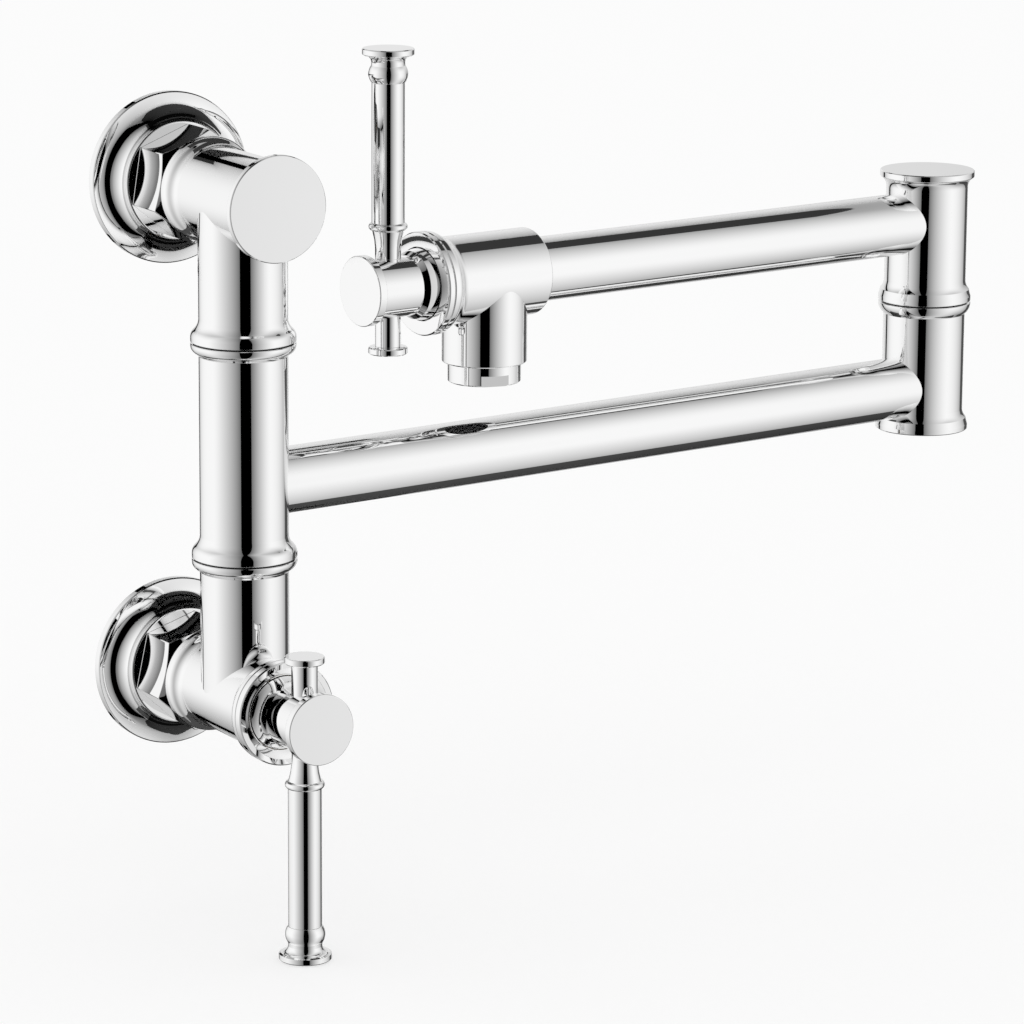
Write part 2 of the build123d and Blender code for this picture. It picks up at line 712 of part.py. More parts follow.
with BuildPart() as post_lower_half:
    with BuildSketch(post_plane):
        with BuildLine():
            flared_bead(BODY_R, POST_BEAD_R, POST_BOTTOM_Z, -1)
            Line((BODY_R, POST_BOTTOM_Z + FLARE_REACH + 1), (BODY_R, lower_half_top - BEAD_REACH - 1))
            blunt_bead(BODY_R, POST_BEAD_R, lower_half_top, 1)
            Line((POST_BEAD_R - 0.5, lower_half_top), (0, lower_half_top))
            Line((0, lower_half_top), (0, POST_BOTTOM_Z))
            Line((0, POST_BOTTOM_Z), (POST_BEAD_R - 0.5, POST_BOTTOM_Z))
        make_face()
    revolve(axis=spin(post_plane))
    bore(post_plane, SPINDLE_R, 73.0, lower_half_top)
    arm_socket(POST, LOWER_ARM_Z, BACK_WAY)
save(post_lower_half, "post_lower_half")

SPIGOT_FOOT = 104.0
SPIGOT_HEAD = 143.0
CLIP_SEAT = 139.0
CLIP_HEIGHT = 1.5
SWIVEL_SEALS = (129.6, 134.6)

with BuildPart() as swivel_spigot:
    add(ring(post_plane, SPINDLE_BORE_R, SPINDLE_R, SPIGOT_FOOT, SPIGOT_HEAD).part)
    for height in SWIVEL_SEALS:
        low, high = height - GROOVE_HEIGHT / 2, height + GROOVE_HEIGHT / 2
        add(ring(post_plane, GROOVE_R, SPINDLE_R + 1, low, high).part, mode=Mode.SUBTRACT)
    clip_low, clip_high = CLIP_SEAT + RUNNING, CLIP_SEAT + RUNNING + CLIP_HEIGHT
    add(ring(post_plane, 10.9, SPINDLE_R + 1, clip_low, clip_high).part, mode=Mode.SUBTRACT)
save(swivel_spigot, "swivel_spigot")

with BuildPart() as swivel_o_rings:
    add([o_ring(post_plane, height).part for height in SWIVEL_SEALS])
save(swivel_o_rings, "swivel_o_rings")

save(ring(post_plane, SPINDLE_R, 18.8, lower_half_top, upper_half_bottom), "swivel_thrust_washer")

with BuildPart() as swivel_retaining_ring:
    add(ring(post_plane, 10.9, 14.1, clip_low, clip_high).part)
    with BuildSketch(Plane(origin=POST + UP * clip_low, x_dir=ARM_WAY, z_dir=UP)):
        with Locations((12.5, 0)):
            Rectangle(6.0, 5.0)
    extrude(amount=CLIP_HEIGHT, mode=Mode.SUBTRACT)
save(swivel_retaining_ring, "swivel_retaining_ring")

# ------------------------------------------------------------------ upper arm
POST_CAP_R = 20.8
POST_CAP_BACK = POST_TOP_Z - 3.0
PLUG_R = 14.6
PLUG_FOOT = 175.5

with BuildPart() as post_upper_half:
    with BuildSketch(post_plane):
        with BuildLine():
            flared_bead(BODY_R, POST_BEAD_R, upper_half_bottom, -1)
            Line((BODY_R, upper_half_bottom + FLARE_REACH + 1), (BODY_R, POST_CAP_BACK - 5.4))
            capped_cove(BODY_R, POST_CAP_R, POST_CAP_BACK, 1)
            Line((POST_CAP_R - 0.5, POST_CAP_BACK), (SPINDLE_R + RUNNING, POST_CAP_BACK))
            Line((SPINDLE_R + RUNNING, POST_CAP_BACK), (SPINDLE_R + RUNNING, upper_half_bottom))
            Line((SPINDLE_R + RUNNING, upper_half_bottom), (POST_BEAD_R - 0.5, upper_half_bottom))
        make_face()
    revolve(axis=spin(post_plane))
    bore(post_plane, PLUG_R, CLIP_SEAT, POST_CAP_BACK)
    arm_socket(POST, UPPER_ARM_Z, BACK_WAY)
save(post_upper_half, "post_upper_half")

save(end_cap(post_plane, POST_CAP_R, PLUG_R, PLUG_FOOT, POST_CAP_BACK, POST_TOP_Z), "post_cap")

TEE_BACK = 22.2  # spout axis to the end that takes the arm
SOCKET_FLOOR = 16.0
spout_plane = along(SPOUT + UP * UPPER_ARM_Z, BACK_WAY)
spout_valve_plane = along(SPOUT_VALVE, BACK_WAY)
outlet_plane = along(SPOUT, UP)

with BuildPart() as upper_arm_tube:
    tube_length = UPPER_ARM - SOCKET_FLOOR
    add(coped_bar(POST, UPPER_ARM_Z, BACK_WAY, tube_length, ARM_R, [0.0]).part)
    with BuildSketch(across(POST + UP * UPPER_ARM_Z, BACK_WAY)):
        Circle(ARM_BORE_R)
    extrude(amount=tube_length, mode=Mode.SUBTRACT)
save(upper_arm_tube, "upper_arm_tube")

OUTLET_BOTTOM = 124.3
AERATOR_SEAT = 131.0
AERATOR_THREAD_R = 13.0
VALVE_FACE = 30.3

with BuildPart() as spout_body:
    with BuildSketch(spout_plane):
        with BuildLine():
            Line((0, -TEE_BACK), (SPOUT_R - 2.0, -TEE_BACK))
            ThreePointArc((SPOUT_R - 2.0, -TEE_BACK), (SPOUT_R - 0.6, -TEE_BACK + 0.6), (SPOUT_R, -TEE_BACK + 2.0))
            Line((SPOUT_R, -TEE_BACK + 2.0), (SPOUT_R, VALVE_FACE - FLARE_REACH - 1))
            flared_bead(SPOUT_R, VALVE_BEAD_R, VALVE_FACE, 1)
            Line((VALVE_BEAD_R - 0.5, VALVE_FACE), (0, VALVE_FACE))
            Line((0, VALVE_FACE), (0, -TEE_BACK))
        make_face()
    revolve(axis=spin(spout_plane))
    with BuildSketch(outlet_plane):
        Polygon(
            (0, OUTLET_BOTTOM),
            (OUTLET_R - 0.5, OUTLET_BOTTOM),
            (OUTLET_R, OUTLET_BOTTOM + 0.5),
            (OUTLET_R, UPPER_ARM_Z),
            (0, UPPER_ARM_Z),
            align=None,
        )
    revolve(axis=spin(outlet_plane))
    bore(spout_plane, ARM_R, -TEE_BACK, -SOCKET_FLOOR)
    bore(spout_plane, WATERWAY_R, -SOCKET_FLOOR, 0)
    valve_cavity(spout_valve_plane)
    bore(outlet_plane, 10.5, OUTLET_BOTTOM, UPPER_ARM_Z - 8)
    bore(outlet_plane, AERATOR_THREAD_R, OUTLET_BOTTOM, AERATOR_SEAT)
save(spout_body, "spout_body")

# ------------------------------------------------------------------ aerator
AERATOR_BOTTOM = 116.0
AERATOR_R = 15.3
INSERT_R = 11.8
INSERT_FOOT = 117.5
INSERT_HEAD = 127.5
FLAT_WAY = FOLD_LEAN + 252.0  # degrees from +X to the near spanner flat
FLAT_OFFSET = 14.1
FLAT_HEIGHT = 4.5

with BuildPart() as aerator_housing:
    with BuildSketch(outlet_plane):
        with BuildLine():
            Polyline(
                (10.9, AERATOR_BOTTOM),
                (AERATOR_R - 0.5, AERATOR_BOTTOM),
                (AERATOR_R, AERATOR_BOTTOM + 0.5),
                (AERATOR_R, OUTLET_BOTTOM),
                (AERATOR_THREAD_R, OUTLET_BOTTOM),
                (AERATOR_THREAD_R, AERATOR_SEAT),
                (INSERT_R, AERATOR_SEAT),
                (INSERT_R, INSERT_FOOT),
                (10.9, INSERT_FOOT),
                close=True,
            )
        make_face()
    revolve(axis=spin(outlet_plane))
    with BuildSketch(Plane(origin=SPOUT + UP * AERATOR_BOTTOM)):
        with PolarLocations(FLAT_OFFSET + 2.0, 2, start_angle=FLAT_WAY):
            Rectangle(4.0, 16.0)
    extrude(amount=FLAT_HEIGHT, mode=Mode.SUBTRACT)
save(aerator_housing, "aerator_housing")

with BuildPart() as aerator_insert:
    add(ring(outlet_plane, 0, INSERT_R, INSERT_FOOT, INSERT_HEAD).part)
    with BuildSketch(Plane(origin=SPOUT + UP * INSERT_FOOT)):
        with Locations((0, 0)):
            RegularPolygon(1.5, 6)
        with PolarLocations(4.4, 6):
            RegularPolygon(1.5, 6)
        with PolarLocations(8.8, 12):
            RegularPolygon(1.5, 6)
    extrude(amount=INSERT_HEAD - INSERT_FOOT, mode=Mode.SUBTRACT)
save(aerator_insert, "aerator_insert")

save(ring(outlet_plane, 9.2, INSERT_R, INSERT_HEAD, AERATOR_SEAT), "aerator_washer")
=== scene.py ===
# %% [markdown]
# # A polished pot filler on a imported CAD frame
# The CAD model holds the sizes and the joints. This lesson dresses it: every piece that shows is
# turned again with fine, evenly rounded edges, because mirror chrome shows each facet.
# Lengths are millimetres until a mesh is made. Shaders, Geometry Nodes and the lamp take metres.

# %% Setting up the frame
import json
import math

import bmesh
import bpy
import numpy as np
from mathutils import Matrix, Vector


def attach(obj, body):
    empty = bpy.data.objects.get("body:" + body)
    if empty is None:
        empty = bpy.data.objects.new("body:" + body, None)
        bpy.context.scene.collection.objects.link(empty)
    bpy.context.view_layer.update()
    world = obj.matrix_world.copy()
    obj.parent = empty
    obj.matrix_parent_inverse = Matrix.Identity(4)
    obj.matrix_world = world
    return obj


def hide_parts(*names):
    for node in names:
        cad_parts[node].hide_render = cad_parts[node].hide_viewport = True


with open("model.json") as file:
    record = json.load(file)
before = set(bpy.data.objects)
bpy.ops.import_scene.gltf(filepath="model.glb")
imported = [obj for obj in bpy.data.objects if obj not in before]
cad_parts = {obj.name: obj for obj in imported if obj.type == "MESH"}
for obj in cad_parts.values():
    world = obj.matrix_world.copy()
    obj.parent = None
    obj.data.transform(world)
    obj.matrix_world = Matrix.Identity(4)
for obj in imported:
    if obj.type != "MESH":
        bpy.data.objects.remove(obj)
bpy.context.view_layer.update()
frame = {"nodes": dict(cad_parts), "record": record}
MM = 0.001

# %% [markdown]
# ## Axes
# The wall is Y = 0 and the object stands out towards -Y. Both arms lean 6 degrees in towards the
# wall, so each turned piece gets an origin and a direction of its own.

# %% Axes and main sizes
UP = Vector((0, 0, 1))
OUT = Vector((0, -1, 0))
LEAN = math.radians(6)
ARM_WAY = Vector((math.cos(LEAN), math.sin(LEAN), 0))
BACK_WAY = -ARM_WAY
RISER = Vector((0, -66, 0))
POST = RISER + ARM_WAY * 363
SPOUT = POST + BACK_WAY * 243
UNION_HEIGHTS = {"lower": 0.0, "upper": 203.2}
LOWER_ARM_Z = 86.5
UPPER_ARM_Z = 160.0
ARM_R = 13.5
BODY_R = 18.0
INLET_R = 18.2
ELBOW_R = 18.4
BEAD_R = 21.3
POST_BEAD_R = 20.4
VALVE_BEAD_R = 21.4
UNION_BEAD_R = 21.5
UNION_FACE = 36.5
LOWER_VALVE_FACE = 97.6
print("post at", tuple(round(x, 1) for x in POST), "and spout at", tuple(round(x, 1) for x in SPOUT))

# %% [markdown]
# ## Shader groups
# Even new metal, rubber and plastic are slightly uneven, and the finishes share the same kinds of
# unevenness. Each kind is built once as a shader group with named inputs, and a finish only picks
# its values. Lengths in a shader are metres, so a Scale of 100 has features about 10 mm wide.


# %% Shader group tools
def planted(tree, kind, values, **settings):
    """Add a node with its settings. Each value is set on the input of that name, or linked to it."""
    node = tree.nodes.new(kind)
    for key, value in settings.items():
        setattr(node, key, value)
    for key, value in values.items():
        if isinstance(value, bpy.types.NodeSocket):
            tree.links.new(value, node.inputs[key])
        else:
            node.inputs[key].default_value = value
    return node


def math_node(tree, operation, *values, clamp=False):
    """A Math node whose inputs are numbers or sockets; gives back its output."""
    inputs = dict(enumerate(values))
    return planted(tree, "ShaderNodeMath", inputs, operation=operation, use_clamp=clamp).outputs[0]


def shader_group(name, inputs, output):
    """A group with number inputs and one output: the group, its inputs and its output socket."""
    group = bpy.data.node_groups.new(name, "ShaderNodeTree")
    for key in inputs:
        group.interface.new_socket(key, in_out="INPUT", socket_type="NodeSocketFloat")
    group.interface.new_socket(output, in_out="OUTPUT", socket_type="NodeSocketFloat")
    given = group.nodes.new("NodeGroupInput").outputs
    return group, given, group.nodes.new("NodeGroupOutput").inputs[output]


def object_spot(group):
    """Where a point is on the object, in metres."""
    return group.nodes.new("ShaderNodeTexCoord").outputs["Object"]


def object_noise(group, scale, detail):
    """Cloudy noise fixed to the object."""
    inputs = {"Detail": detail, "Vector": object_spot(group), "Scale": scale}
    return planted(group, "ShaderNodeTexNoise", inputs).outputs["Fac"]


def remapped(group, value, low, high, to_low, to_high):
    """Stretch a value from one range to another, clamped."""
    inputs = {"Value": value, "From Min": low, "From Max": high, "To Min": to_low, "To Max": to_high}
    return planted(group, "ShaderNodeMapRange", inputs).outputs["Result"]


# %% [markdown]
# The five effects: haze (roughness that comes and goes), waves (a surface not quite true), turning
# (the fine rings a lathe and a polishing wheel leave round a piece), pores, and blotches (a mask
# between two tones). Turning reads the attribute that each turned mesh carries: the distance along
# its outline.

# %% Shader groups
haze, given, result = shader_group("haze", ("Scale", "Low", "High"), "Roughness")
clouds = object_noise(haze, given["Scale"], 4.0)
haze.links.new(remapped(haze, clouds, 0.32, 0.68, given["Low"], given["High"]), result)

waves, given, result = shader_group("waves", ("Scale", "Height"), "Height")
swell = math_node(waves, "SUBTRACT", object_noise(waves, given["Scale"], 1.0), 0.5)
waves.links.new(math_node(waves, "MULTIPLY", swell, given["Height"]), result)

turning, given, result = shader_group("turning", ("Pitch", "Height"), "Height")
station = planted(turning, "ShaderNodeAttribute", {}, attribute_name="outline_distance").outputs["Fac"]
grooves = planted(turning, "ShaderNodeTexNoise", {
    "Detail": 2.0, "Scale": 1.0, "W": math_node(turning, "DIVIDE", station, given["Pitch"]),
}, noise_dimensions="1D")
turning.links.new(math_node(turning, "MULTIPLY", grooves.outputs["Fac"], given["Height"]), result)

pores, given, result = shader_group("pores", ("Size", "Depth"), "Height")
cells = planted(pores, "ShaderNodeTexVoronoi", {
    "Vector": object_spot(pores), "Scale": math_node(pores, "DIVIDE", 1.0, given["Size"])})
bottom = math_node(pores, "MULTIPLY", given["Depth"], -1.0)
pores.links.new(remapped(pores, cells.outputs["Distance"], 0.1, 0.5, bottom, 0.0), result)

blotches, given, result = shader_group("blotches", ("Scale",), "Mask")
patches = object_noise(blotches, given["Scale"], 5.0)
blotches.links.new(remapped(blotches, patches, 0.35, 0.65, 0.0, 1.0), result)
print("shader groups:", [g.name for g in bpy.data.node_groups])

# %% [markdown]
# ## Finishes
# Each finish is a Principled BSDF. Its plain numbers sit on the shader itself, and what changes
# over the surface comes from the groups: roughness, tone, and a height that bumps the surface.


# %% Finish tools
def node_material(name):
    """A new material and its node tree."""
    material = bpy.data.materials.new(name)
    material.use_nodes = True
    return material, material.node_tree


def effect(tree, group, **values):
    """Place a shader group with its own values; gives back its output."""
    inputs = {key.capitalize(): value for key, value in values.items()}
    return planted(tree, "ShaderNodeGroup", inputs, node_tree=group).outputs[0]


def finish(name, metallic, roughness, heights, colour, other=None, blotch_scale=100.0):
    """A material: haze as (scale, low, high), bump heights as (group, values), one or two tones."""
    material, tree = node_material(name)
    shader = tree.nodes["Principled BSDF"]
    shader.inputs["Metallic"].default_value = metallic
    scale, low, high = roughness
    tree.links.new(effect(tree, haze, scale=scale, low=low, high=high), shader.inputs["Roughness"])
    shader.inputs["Base Color"].default_value = (*colour, 1)
    if other:
        mask = effect(tree, blotches, scale=blotch_scale)
        mix = planted(tree, "ShaderNodeMix", {"A": (*colour, 1), "B": (*other, 1)}, data_type="RGBA")
        tree.links.new(mask, mix.inputs["Factor"])
        tree.links.new(mix.outputs["Result"], shader.inputs["Base Color"])
    total = 0.0
    for group, values in heights:
        total = math_node(tree, "ADD", total, effect(tree, group, **values))
    bump = planted(tree, "ShaderNodeBump", {"Distance": 1.0, "Height": total})
    tree.links.new(bump.outputs["Normal"], shader.inputs["Normal"])
    return material


# %% [markdown]
# The chrome is almost a mirror: the plating follows the polished brass below it, so it keeps a
# trace of waviness and of turning. Hidden pieces get their finishes too, because the model can be
# taken apart.

# %% Finishes
CHROME = "polished_chrome"
finishes = {
    CHROME: finish(
        CHROME, 1.0, (160, 0.012, 0.034),
        [(waves, {"scale": 75, "height": 0.000006}), (turning, {"pitch": 0.0005, "height": 0.0000003})],
        (0.965, 0.965, 0.965)),
    "brass": finish(
        "brass", 1.0, (400, 0.16, 0.36),
        [(turning, {"pitch": 0.00025, "height": 0.000006}), (waves, {"scale": 900, "height": 0.000004})],
        (0.80, 0.58, 0.27), (0.66, 0.45, 0.20), 220.0),
    "steel": finish(
        "steel", 1.0, (900, 0.18, 0.34),
        [(turning, {"pitch": 0.0002, "height": 0.000003}), (waves, {"scale": 1500, "height": 0.000002})],
        (0.60, 0.59, 0.57), (0.52, 0.51, 0.50), 700.0),
    "rubber": finish(
        "rubber", 0.0, (500, 0.58, 0.8),
        [(pores, {"size": 0.0007, "depth": 0.00006}), (waves, {"scale": 300, "height": 0.00002})],
        (0.020, 0.020, 0.021), (0.034, 0.033, 0.032), 350.0),
    "nylon": finish(
        "nylon", 0.0, (700, 0.34, 0.5),
        [(waves, {"scale": 2600, "height": 0.000007}), (pores, {"size": 0.0004, "depth": 0.000004})],
        (0.018, 0.018, 0.019), (0.026, 0.026, 0.027), 500.0),
    "ceramic": finish(
        "ceramic", 0.0, (1200, 0.12, 0.24),
        [(waves, {"scale": 4000, "height": 0.000001})],
        (0.84, 0.83, 0.80), (0.78, 0.77, 0.73), 1500.0),
}
slots = {row["node"]: row["material_slot"] for row in frame["record"]["subparts"]}
for node, piece in frame["nodes"].items():
    piece.data.materials.clear()
    piece.data.materials.append(finishes[slots[node]])
print("finishes:", sorted(finishes))

# %% [markdown]
# ## Outlines
# A turned piece is one closed outline of (radius, height) points. `arc` adds round stretches, and
# `eased` rounds off every sharp corner, as a polishing wheel does, so that edges catch the light.


# %% Outline tools
def band(inner, outer, low, high):
    """A plain ring or, from radius 0, a plain rod."""
    return [(inner, low), (outer, low), (outer, high), (inner, high)]


def arc(start, via, end, step=7.0):
    """Points on the circle through three points, without the first."""
    (ax, ay), (bx, by), (cx, cy) = start, via, end
    d = 2 * (ax * (by - cy) + bx * (cy - ay) + cx * (ay - by))
    a2, b2, c2 = ax * ax + ay * ay, bx * bx + by * by, cx * cx + cy * cy
    ux = (a2 * (by - cy) + b2 * (cy - ay) + c2 * (ay - by)) / d
    uy = (a2 * (cx - bx) + b2 * (ax - cx) + c2 * (bx - ax)) / d
    radius = math.hypot(ax - ux, ay - uy)
    first = math.atan2(ay - uy, ax - ux)
    middle = (math.atan2(by - uy, bx - ux) - first) % (2 * math.pi)
    last = (math.atan2(cy - uy, cx - ux) - first) % (2 * math.pi)
    if middle > last:
        last -= 2 * math.pi
    count = max(3, math.ceil(abs(math.degrees(last)) / step))
    angles = [first + last * i / count for i in range(1, count + 1)]
    return [(ux + radius * math.cos(t), uy + radius * math.sin(t)) for t in angles]


def area(points):
    """Twice the signed area of a closed outline."""
    return sum(a[0] * b[1] - b[0] * a[1] for a, b in zip(points, points[1:] + points[:1]))


def eased(points, radius=0.25, least=13.0):
    """Replace each sharp corner of a closed outline with a small arc."""
    out = []
    count = len(points)
    for i, here in enumerate(points):
        p, q, r = (np.array(points[k % count], float) for k in (i - 1, i, i + 1))
        a, b = q - p, r - q
        la, lb = np.linalg.norm(a), np.linalg.norm(b)
        turn = math.atan2(a[0] * b[1] - a[1] * b[0], a @ b)
        if here[0] < 1e-6 or abs(turn) < math.radians(least):
            out.append(tuple(here))
            continue
        cut = min(radius * math.tan(abs(turn) / 2), 0.42 * la, 0.42 * lb)
        true = cut / math.tan(abs(turn) / 2)
        start = q - a / la * cut
        side = 1 if turn > 0 else -1
        centre = start + np.array([-a[1], a[0]]) / la * true * side
        base = math.atan2(*(start - centre)[::-1])
        steps = max(2, math.ceil(abs(math.degrees(turn)) / 12))
        for k in range(steps + 1):
            t = base + turn * k / steps
            out.append((centre[0] + true * math.cos(t), centre[1] + true * math.sin(t)))
    return out


# %% [markdown]
# ## Turning
# `lathe` spins an outline into rings. The normals are worked out from the outline itself and
# weighted by length, so flats stay flat right up to their rounded edges.


# %% Turning tools
def sides_of(way):
    """Two directions square to an axis, right-handed with it."""
    side = Vector((1, 0, 0)) if abs(way.z) > 0.5 else UP
    return side, way.cross(side)


def outline_normals(points):
    """Outward normals at the points of a counter-clockwise outline."""
    p = np.array(points, float)
    forward = np.roll(p, -1, 0) - p
    back = np.roll(forward, 1, 0)
    both = forward + back
    normal = np.stack([both[:, 1], -both[:, 0]], 1)
    return normal / np.maximum(np.linalg.norm(normal, axis=1, keepdims=True), 1e-12)


def distances_along(points):
    """How far along a closed outline each of its points is."""
    p = np.array(points, float)
    return np.concatenate([[0.0], np.cumsum(np.linalg.norm(p[1:] - p[:-1], axis=1))])


def lathe(outline, origin, way, segments=128, ease=0.25, cope=None):
    """Vertices, faces, vertex normals and outline distances of a turned solid, in metres.
    cope(points, across) may move rings along the axis, to fit them to another round surface."""
    if area(outline) < 0:
        outline = outline[::-1]
    outline = eased(outline, ease)
    normals = outline_normals(outline)
    distances = distances_along(outline)
    u, v = sides_of(way)
    turns = np.arange(segments) * 2 * math.pi / segments
    spokes = np.outer(np.cos(turns), u) + np.outer(np.sin(turns), v)
    vertices, vertex_normals, stations, rings = [], [], [], []
    for (radius, height), (nr, nh), distance in zip(outline, normals, distances):
        stations += [distance] * (1 if radius < 1e-6 else segments)
        if radius < 1e-6:
            rings.append([len(vertices)] * segments)
            vertices.append(np.array(origin) + np.array(way) * height)
            vertex_normals.append(np.array(way) * (1 if nh > 0 else -1))
            continue
        rings.append(list(range(len(vertices), len(vertices) + segments)))
        heights = np.full(segments, height)
        if cope is not None:
            heights = cope(heights, radius * spokes)
        vertices.extend(np.array(origin) + heights[:, None] * np.array(way) + radius * spokes)
        vertex_normals.extend(nr * spokes + nh * np.array(way))
    faces = []
    for i in range(len(rings)):
        a, b = rings[i], rings[(i + 1) % len(rings)]
        if a[0] == a[1] and b[0] == b[1]:
            continue
        for j in range(segments):
            k = (j + 1) % segments
            face = [a[j], a[k], b[k], b[j]]
            if a[j] == a[k]:
                face = [a[j], b[k], b[j]]
            elif b[j] == b[k]:
                face = [a[j], a[k], b[j]]
            faces.append(face)
    return np.array(vertices) * MM, faces, np.array(vertex_normals), np.array(stations) * MM


# %% [markdown]
# ## Placing
# Each finished mesh rides on the body that moves it, names the material slot it is sold in, and says
# which CAD nodes it stands for, so that those nodes hide behind it.


# %% Mesh and placing tools
def linked(name, data):
    """A new object in the scene."""
    thing = bpy.data.objects.new(name, data)
    bpy.context.scene.collection.objects.link(thing)
    return thing


def standing(spot, *sides):
    """The transform to a spot in millimetres and to three directions square to each other."""
    return Matrix.Translation(Vector(spot) * MM) @ Matrix(sides).transposed().to_4x4()


def mesh_of(name, vertices, faces, normals=None, stations=None):
    """A smooth mesh, if given with its own normals and its distances along the outline."""
    mesh = bpy.data.meshes.new(name)
    mesh.from_pydata([tuple(v) for v in vertices], [], faces)
    mesh.polygons.foreach_set("use_smooth", [True] * len(mesh.polygons))
    if normals is not None:
        mesh.normals_split_custom_set_from_vertices([tuple(n) for n in normals])
    if stations is not None:
        mesh.attributes.new("outline_distance", "FLOAT", "POINT").data.foreach_set("value", stations)
    mesh.update()
    return mesh


def area_normals(mesh):
    """Weight each corner by its faces' area, which keeps flats flat beside small rounded edges."""
    normals = np.zeros((len(mesh.vertices), 3))
    for face in mesh.polygons:
        for vertex in face.vertices:
            normals[vertex] += np.array(face.normal) * face.area
    lengths = np.maximum(np.linalg.norm(normals, axis=1, keepdims=True), 1e-20)
    mesh.normals_split_custom_set_from_vertices([tuple(n) for n in normals / lengths])


made = {}


def place(name, mesh, body, slot, stands_for):
    """Put a finished mesh in the scene, on its body, in place of its CAD nodes."""
    piece = linked(name, mesh)
    if not mesh.materials:
        mesh.materials.append(finishes[slot])
    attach(piece, body)
    if stands_for:
        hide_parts(*stands_for)
    made[name] = piece
    return piece


def turned(name, body, slot, outline, origin, way, stands_for=(), **options):
    """A whole turned piece in one call."""
    return place(name, mesh_of(name, *lathe(outline, origin, way, **options)), body, slot, stands_for)


# %% [markdown]
# ## Joining turned solids
# A valve body or an elbow is two turned solids run together. A boolean joins or cuts them, and
# afterwards each face takes its normals from the outline that it came from, so the surfaces stay
# true and the line where they meet stays crisp.


# %% Normals of a joined piece
def outline_surface_at(points, outline, origin, way):
    """Normals and outline distances at points on a turned solid, from its nearest outline edge."""
    relative = points / MM - np.array(origin)
    height = relative @ np.array(way)
    across = relative - np.outer(height, np.array(way))
    radius = np.linalg.norm(across, axis=1)
    spoke = across / np.maximum(radius[:, None], 1e-9)
    here = np.stack([radius, height], 1)
    p = np.array(outline, float)
    q = np.roll(p, -1, 0)
    n0 = outline_normals(outline)
    n1 = np.roll(n0, -1, 0)
    edge = q - p
    length2 = np.maximum((edge**2).sum(1), 1e-12)
    t = np.clip(((here[:, None] - p) * edge).sum(2) / length2, 0, 1)
    gap = np.linalg.norm(here[:, None] - (p + t[..., None] * edge), axis=2)
    best = gap.argmin(1)
    rows = np.arange(len(here))
    s = t[rows, best][:, None]
    normal = n0[best] * (1 - s) + n1[best] * s
    distance = distances_along(outline)[best] + t[rows, best] * np.sqrt(length2[best])
    return normal[:, :1] * spoke + normal[:, 1:] * np.array(way), distance * MM


def outline_shading(mesh, sources):
    """The normal and the outline distance of each corner, on the solid that its face came from."""
    loops = np.zeros(len(mesh.loops), int)
    mesh.loops.foreach_get("vertex_index", loops)
    places = np.array([v.co for v in mesh.vertices])
    normals = np.zeros((len(mesh.loops), 3))
    stations = np.zeros(len(mesh.loops))
    loop_source = np.zeros(len(mesh.loops), int)
    for face in mesh.polygons:
        corners = slice(face.loop_start, face.loop_start + face.loop_total)
        loop_source[corners] = face.material_index
        normals[corners] = face.normal
    for index, source in enumerate(sources):
        if source is None:
            continue
        outline, origin, way, sign = source
        chosen = np.nonzero(loop_source == index)[0]
        for part in np.array_split(chosen, max(1, len(chosen) // 4000)):
            if len(part):
                found, stations[part] = outline_surface_at(places[loops[part]], outline, origin, way)
                normals[part] = sign * found
    return normals, stations


# %% [markdown]
# The material index of a face tells, after the booleans, which solid it came from. A box and a
# hexagon keep their flat faces, so they have no outline to take normals from.


# %% Solids and booleans
def box_mesh(name, sizes, origin, way):
    """A box of three sizes, its third side along a direction."""
    stretch = Matrix.Diagonal((*(Vector(sizes) * MM), 1))
    grid = bmesh.new()
    bmesh.ops.create_cube(grid, size=1.0, matrix=standing(origin, *sides_of(way), way) @ stretch)
    mesh = bpy.data.meshes.new(name)
    grid.to_mesh(mesh)
    grid.free()
    return mesh


def modified(thing):
    """The mesh that an object's modifiers make; the modifiers are dropped."""
    bpy.context.view_layer.update()
    mesh = bpy.data.meshes.new_from_object(thing.evaluated_get(bpy.context.evaluated_depsgraph_get()))
    thing.modifiers.clear()
    return mesh


def combine(base, solid, operation):
    """Run one exact boolean on the base object, and drop the other solid."""
    change = base.modifiers.new("join", "BOOLEAN")
    change.operation = operation
    change.solver = "EXACT"
    change.object = solid
    base.data = modified(base)
    bpy.data.objects.remove(solid)


def joined(name, body, slot, solids, stands_for):
    """Boolean of (operation, outline, origin, way, segments) solids; the first is the base.
    A tuple of three sizes in place of the outline is a box, and 6 segments make a hexagon."""
    sources, base = [], None
    for index, (operation, outline, origin, way, segments) in enumerate(solids):
        part_name = f"{name}_{index}"
        if isinstance(outline, tuple):
            mesh = box_mesh(part_name, outline, origin, way)
            sources.append(None)
        else:
            if area(outline) < 0:
                outline = outline[::-1]
            outline = eased(outline) if segments != 6 else outline
            vertices, faces, *_ = lathe(outline, origin, way, segments, ease=0.0)
            mesh = mesh_of(part_name, vertices, faces)
            sign = -1 if operation == "DIFFERENCE" else 1
            sources.append(None if segments == 6 else (outline, origin, way, sign))
        for _ in solids:
            mesh.materials.append(None)
        mesh.polygons.foreach_set("material_index", [index] * len(mesh.polygons))
        solid = linked(part_name, mesh)
        if base is None:
            base = solid
        else:
            combine(base, solid, operation)
    mesh = base.data
    bpy.data.objects.remove(base)
    normals, stations = outline_shading(mesh, sources)
    mesh.attributes.new("outline_distance", "FLOAT", "CORNER").data.foreach_set("value", stations)
    mesh.materials.clear()
    mesh.polygons.foreach_set("material_index", [0] * len(mesh.polygons))
    mesh.polygons.foreach_set("use_smooth", [True] * len(mesh.polygons))
    mesh.normals_split_custom_set([tuple(n) for n in normals])
    mesh.name = name
    return place(name, mesh, body, slot, stands_for)


